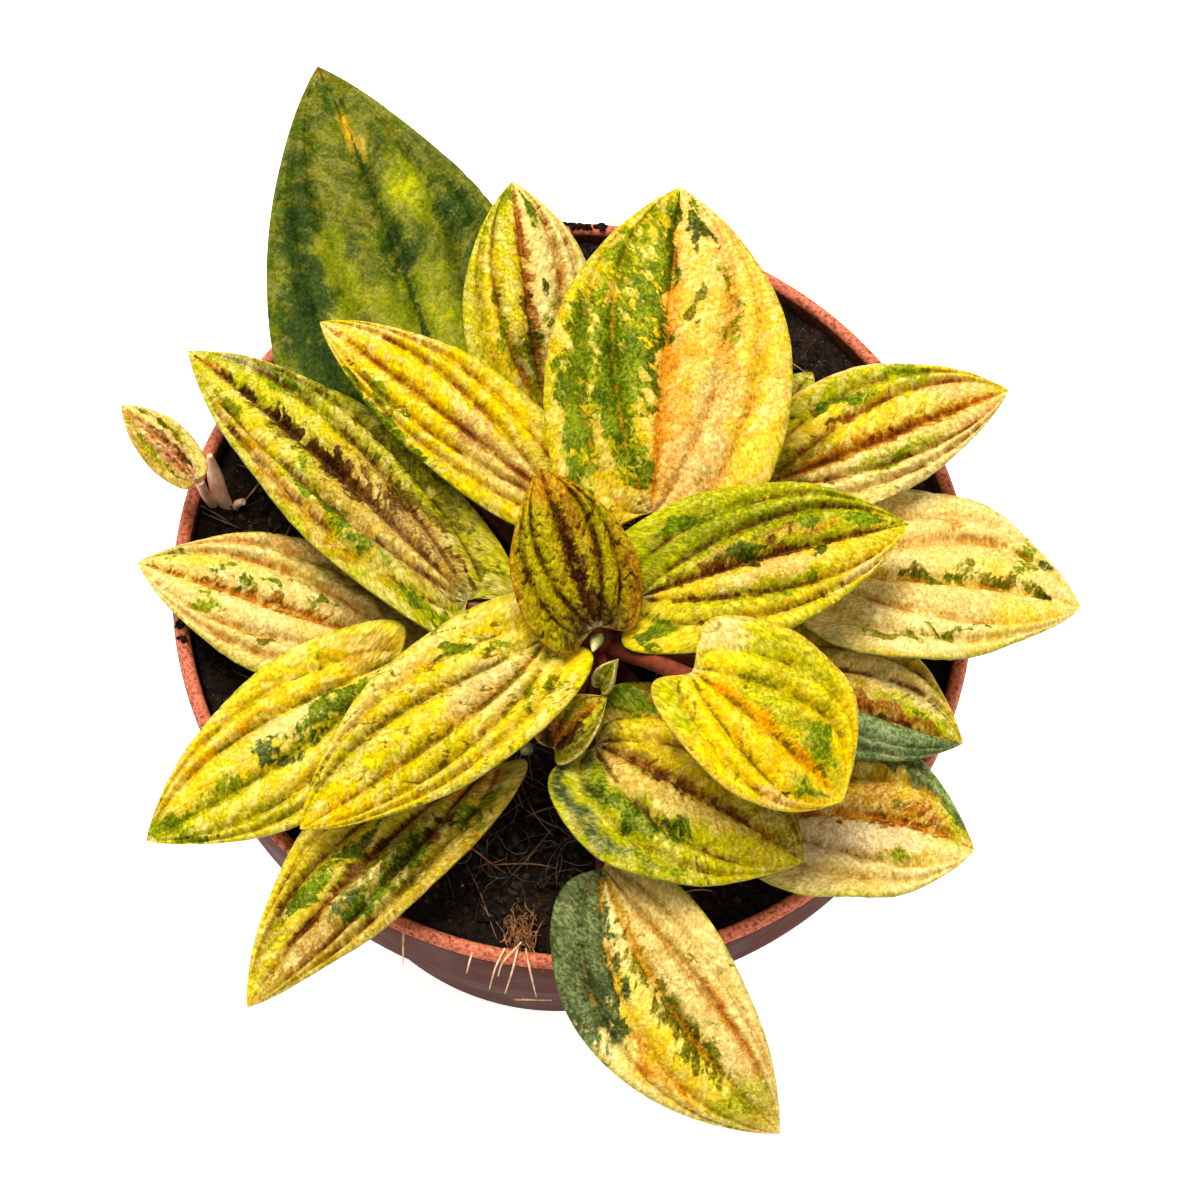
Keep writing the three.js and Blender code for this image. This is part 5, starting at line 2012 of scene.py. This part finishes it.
                Dab(Tint.DEEP_GREEN, 0.52, 0.24, 0.09, 0.2, 0.72, 0.3),
                Dab(Tint.GREEN, -0.8, 0.14, 0.18, 0.06, 0.95), Dab(Tint.SPRING, 0.9, 0.5, 0.08, 0.2, 0.6),
                Dab(Tint.BROWN, 0.08, 0.3, 0.04, 0.3, 0.55),
            ),
        ),
    ),
    Leaf(
        Blade(
            "hanging_leaf_front", (2.6, -31.2, 72.0), (19.8, -54.9, 64.0), 6.6, 9.6, root=69.0, base=0.8,
            lobe=0.1, arch=4.0, cup=-0.6, sway=1.3, roll=6.0, rib=0.12,
        ),
        Painting(
            left=Tint.CREAM, right=Tint.CREAM, band=Tint.STRAW, valley=0.19, veins=Tint.OCHRE,
            vein_strength=0.75, net_strength=0.4, cloud=Tint.STRAW, pale=0.3,
            washes=(
                Dab(Tint.PEACH, -0.4, 0.6, 0.2, 0.2, 0.8), Dab(Tint.TAN, -0.3, 0.3, 0.3, 0.25, 0.45),
                Dab(Tint.YELLOW, 0.45, 0.68, 0.4, 0.22, 0.85), Dab(Tint.LIME, 0.1, 0.88, 0.9, 0.1, 0.8),
                Dab(Tint.BUTTER, 0.4, 0.42, 0.14, 0.2, 0.8),
                Dab(Tint.APRICOT, 0.68, 0.6, 0.06, 0.2, 0.9, 0.4),
                Dab(Tint.APRICOT, -0.5, 0.65, 0.05, 0.2, 0.8, -0.3),
                Dab(Tint.STRAW, 0.1, 0.93, 0.9, 0.05, 0.7),
            ),
            sectors=(
                Dab(Tint.GREY_GREEN, 0.98, -0.03, 0.68, 0.42, 1.5),
                Dab(Tint.GREY_GREEN, 0.74, 0.24, 0.3, 0.2, 1.3),
                Dab(Tint.DEEP_GREEN, 0.62, 0.42, 0.12, 0.06, 0.65),
                Dab(Tint.OLIVE, 0.14, 0.58, 0.2, 0.32, 0.66),
                Dab(Tint.DEEP_GREEN, 0.14, 0.55, 0.09, 0.25, 0.6),
                Dab(Tint.DEEP_GREEN, 0.3, 0.62, 0.06, 0.06, 0.6),
                Dab(Tint.OLIVE, -0.6, 0.38, 0.14, 0.06, 0.5), Dab(Tint.CREAM, -0.1, 0.4, 0.2, 0.2, 0.5),
                Dab(Tint.SPRING, 0.2, 0.86, 0.25, 0.08, 0.6),
            ),
        ),
    ),
    Leaf(
        Blade(
            "hidden_leaf_back", (16.8, 10.4, 73.0), (23.5, 19.8, 75.0), 3.6, 3.6, root=68.5, arch=0.8,
            ridge=0.3, wave=0.1, fineness=Fineness.SMALL,
        ),
        Painting(left=Tint.LIME, right=Tint.LIME, band=Tint.OLIVE),
    ),
    Leaf(
        Blade(
            "young_curled_leaf", (-2.2, -20.9, 76.7), (2.7, -16.8, 80.2), 3.2, 2.6, root=74.0, arch=0.8,
            cup=1.2, ridge=0.4, wave=0.1, fineness=Fineness.SMALL,
        ),
        Painting(
            left=Tint.MUSTARD, right=Tint.OLIVE, band_wide=0.2, veins=Tint.BROWN, valley=0.1, pale=0.1,
            vein_strength=0.6, cross_strength=0.3, rim=Tint.CREAM, rim_wide=0.1,
            washes=(Dab(Tint.RUST, -0.5, 0.2, 0.5, 0.2), Dab(Tint.LIME, 0.3, 0.7, 0.3, 0.2)),
            sectors=(Dab(Tint.UMBER, 0.15, 0.35, 0.2, 0.4, 0.75), Dab(Tint.UMBER, -0.5, 0.1, 0.3, 0.1)),
        ),
    ),
    Leaf(
        Blade(
            "bud_leaf", (2.1, -15.6, 79.4), (3.3, -14.3, 83.3), 1.2, 1.2, root=77.5, arch=0.2, cup=0.6,
            ridge=0.1, wave=0.0, fineness=Fineness.SMALL,
        ),
        Painting(
            left=Tint.SPRING, right=Tint.SPRING, band=Tint.GREEN, rim=Tint.PALE, rim_wide=0.4, valley=0.07,
            vein_strength=0.35,
        ),
    ),
)

SEEDLING_LEAF = Leaf(
    Blade(
        "seedling_leaf", (-37.4, 7.1, 75.0), (-44.9, 14.3, 76.5), 2.6, 2.6, lobe=0.1, arch=0.9, cup=0.5,
        ridge=0.35, wave=0.1, rib=0.1, fineness=Fineness.SMALL,
    ),
    Painting(
        left=Tint.TAN, right=Tint.CREAM, band=Tint.RUST, vein_strength=0.5, cross_strength=0.2, valley=0.1,
        rim=Tint.STRAW, rim_wide=0.12,
        washes=(
            Dab(Tint.LIME, -0.6, 0.45, 0.16, 0.4, 0.7), Dab(Tint.LIME, 0.62, 0.45, 0.16, 0.4, 0.7),
            Dab(Tint.BLUSH, 0.0, 0.3, 0.4, 0.4, 0.85),
        ),
        sectors=(
            Dab(Tint.RUST, -0.14, 0.42, 0.08, 0.36, 0.85), Dab(Tint.BROWN, 0.22, 0.4, 0.08, 0.34, 0.85),
            Dab(Tint.UMBER, 0.25, 0.2, 0.14, 0.08), Dab(Tint.OLIVE, 0.58, 0.5, 0.09, 0.34, 0.85),
            Dab(Tint.OLIVE, -0.54, 0.45, 0.09, 0.34, 0.85),
        ),
    ),
    Slot.SEEDLING,
)


@dataclass
class Foliage:
    """All the blades of the plant and of the seedling beside it."""

    leaves: tuple[Leaf, ...] = LEAVES + (SEEDLING_LEAF,)

    def build(self) -> None:
        """Builds and dresses every blade."""
        fresh = BladeFinish().build()
        # the old leaf's skin is duller and its patches fray to a fine mottle
        old = BladeFinish(
            name="old_leaf_skin", torn=0.8, soft=0.3, streak_mm=3.2, hatching=0.35,
            roughness_low=0.4, roughness_high=0.6,
        ).build()
        for leaf in self.leaves:
            leaf.build(old if leaf.slot is Slot.OLD_LEAF else fresh)


# ---- Stalks ----


@dataclass
class Crown:
    """The short stem of the plant, every leaf's stalk, and the seedling's stem and sprout."""

    stem: Strand = Strand(
        (
            (2.4, -5.4, 58.0), (2.4, -6.4, 65.0), (2.1, -8.4, 71.0), (1.9, -10.0, 76.0), (1.9, -10.6, 79.5),
            (1.9, -10.7, 81.0),
        ),
        (2.4, 2.6, 2.5, 2.2, 1.5, 0.7),
    )
    seedling: tuple[Strand, ...] = (
        Strand(
            ((-35.7, 8.8, 60.0), (-36.1, 8.6, 64.0), (-36.8, 7.8, 69.0), (-37.1, 7.3, 74.2)),
            (0.6, 0.55, 0.5, 0.45),
        ),
        Strand(
            (
                (-34.6, 8.3, 61.0), (-34.7, 8.2, 64.6), (-35.7, 8.9, 67.0), (-36.1, 10.3, 69.2),
                (-36.4, 11.0, 72.0),
            ),
            (0.5, 0.55, 0.95, 0.8, 0.3),
        ),
        Strand(((-34.6, 8.2, 63.5), (-34.0, 8.5, 65.6), (-33.3, 8.5, 66.2)), (0.35, 0.42, 0.36)),
    )
    # the pale growing point in the middle of the crown, and the knob of a leaf to come in front of it
    buds: tuple[Strand, ...] = (
        Strand(
            ((1.9, -10.4, 80.3), (1.8, -11.2, 81.1), (1.5, -12.1, 82.0), (1.3, -13.0, 82.4)),
            (0.35, 0.7, 0.55, 0.12),
        ),
        Strand(((-4.4, -18.4, 70.4), (-4.7, -19.0, 71.2), (-4.9, -19.6, 72.2)), (0.3, 0.75, 0.4)),
    )
    radius: float = 0.85

    def stem_at(self, height: float) -> np.ndarray:
        """The middle of the stem at a height, in millimetres."""
        x, y, z = np.array(self.stem.path).T
        return np.array([np.interp(height, z, x), np.interp(height, z, y), height])

    def leaf_stalk(self, blade: Blade) -> Strand:
        """The stalk of one leaf, from the stem to just under its blade.

        Args:
            blade: the leaf's shape.

        Returns:
            The stalk.
        """
        radius = self.radius * (0.6 if blade.fineness is Fineness.SMALL else 1.0)
        start = self.stem_at(blade.root)
        end = blade.stalk_end(radius)
        middle = 0.5 * (start + end)
        middle[2] += 0.06 * float(np.linalg.norm(end - start))
        path = (tuple(start), tuple(middle), tuple(end))
        return Strand(path, (1.25 * radius, radius, radius))

    def build(self, tubes: StrandTree) -> None:
        """Builds and dresses the stalks.

        Args:
            tubes: makes them.
        """
        skin = StalkFinish().build()
        strands = [self.stem] + [self.leaf_stalk(leaf.blade) for leaf in LEAVES]
        crown = tubes.grow("crown_and_leaf_stalks", strands, skin, 18, 14)
        finish_piece(crown, Slot.STALK, ["crown_and_stalks"])
        # the seedling's skin is blanched and lets the light in; a bud's is pale green
        pale = StalkFinish(name="pale_seedling_skin", light=Tint.SHELL, dark=Tint.BLUSH).build()
        buds = StalkFinish(name="downy_bud_skin", light=Tint.PALE, dark=Tint.SAGE).build()
        finish_piece(tubes.grow("growing_points", self.buds, buds, 14, 12), Slot.STALK)
        seedling = tubes.grow("seedling_stem", self.seedling, pale, 18, 12)
        finish_piece(seedling, Slot.SEEDLING, ["seedling_stem_and_sprout"])


# ---- Studio ----


@dataclass
class Studio:
    """The floor, the soft lights and the camera at the photograph's angle."""

    azimuth: float = -5.727  # degrees round from the front, below 0 to the left
    elevation: float = 68.882  # degrees above the horizon
    distance: float = 350.0
    target: Point = (2.522, -2.257, 68.0)
    lens: float = 105.68
    sensor: float = 36.0
    floor_half: float = 3.0  # in metres
    aim: Point = (0.0, 0.0, 0.06)  # what the lights face, in metres
    warm: str = "#fff8ea"

    def camera(self) -> None:
        """Places the camera."""
        a = math.radians(self.azimuth)
        e = math.radians(self.elevation)
        back = Vector((math.sin(a) * math.cos(e), -math.cos(a) * math.cos(e), math.sin(e)))
        data = bpy.data.cameras.new("camera")
        data.lens = self.lens
        data.sensor_width = self.sensor
        data.clip_start = 0.01
        camera = put("camera", data)
        right = Vector((0, 1, 0)).cross(back).normalized()
        camera.location = (Vector(self.target) + self.distance * back) * MM
        camera.rotation_euler = Matrix((right, back.cross(right), back)).transposed().to_euler()
        bpy.context.scene.camera = camera

    def light(self, name: str, place: Point, size: float, watts: float) -> None:
        """Hangs one soft light that faces the plant.

        Args:
            name: its name.
            place: where it hangs, in metres.
            size: its side, in metres.
            watts: its power.
        """
        data = bpy.data.lights.new(name, "AREA")
        data.shape = "SQUARE"
        data.size = size
        data.energy = watts
        data.color = linear(self.warm)[:3]
        lamp = put(name, data)
        lamp.location = place
        lamp.rotation_euler = (Vector(self.aim) - Vector(place)).to_track_quat("-Z", "Y").to_euler()

    def floor(self) -> None:
        """Lays the floor."""
        half = self.floor_half / MM
        corners = np.array([(-half, -half, 0), (half, -half, 0), (half, half, 0), (-half, half, 0)])
        floor = make_piece("studio_floor", corners, [(0, 1, 2, 3)], FloorFinish().build())

    def sky(self) -> None:
        """Gives the room an even, pale light."""
        world = bpy.data.worlds.new("studio_room")
        world.use_nodes = True
        world.node_tree.nodes.clear()
        glow = add_node(world.node_tree, "Background", {"Color": "#fffaf2", "Strength": 0.36})
        add_node(world.node_tree, "OutputWorld", {"Surface": glow})
        bpy.context.scene.world = world

    def build(self) -> None:
        """Sets the studio up."""
        self.floor()
        self.sky()
        self.light("key_overhead", (-0.16, 0.26, 0.9), 0.5, 11.1)
        self.light("fill_front", (0.4, -0.4, 0.9), 0.7, 2.0)
        self.camera()
        settings = bpy.context.scene.view_settings
        settings.view_transform = "Standard"
        settings.look = "Medium High Contrast"


def main() -> None:
    """Builds the part's looks round its frame, then the studio."""
    logging.basicConfig(level=logging.INFO, format="%(name)s: %(message)s")
    tubes = StrandTree()
    crumbs = CrumbTree()
    fibre = FibreFinish().build()
    Pot().build()
    Peat().build(tubes, crumbs, fibre)
    Crown().build(tubes)
    Foliage().build()
    Studio().build()


if __name__ == "__main__":
    main()
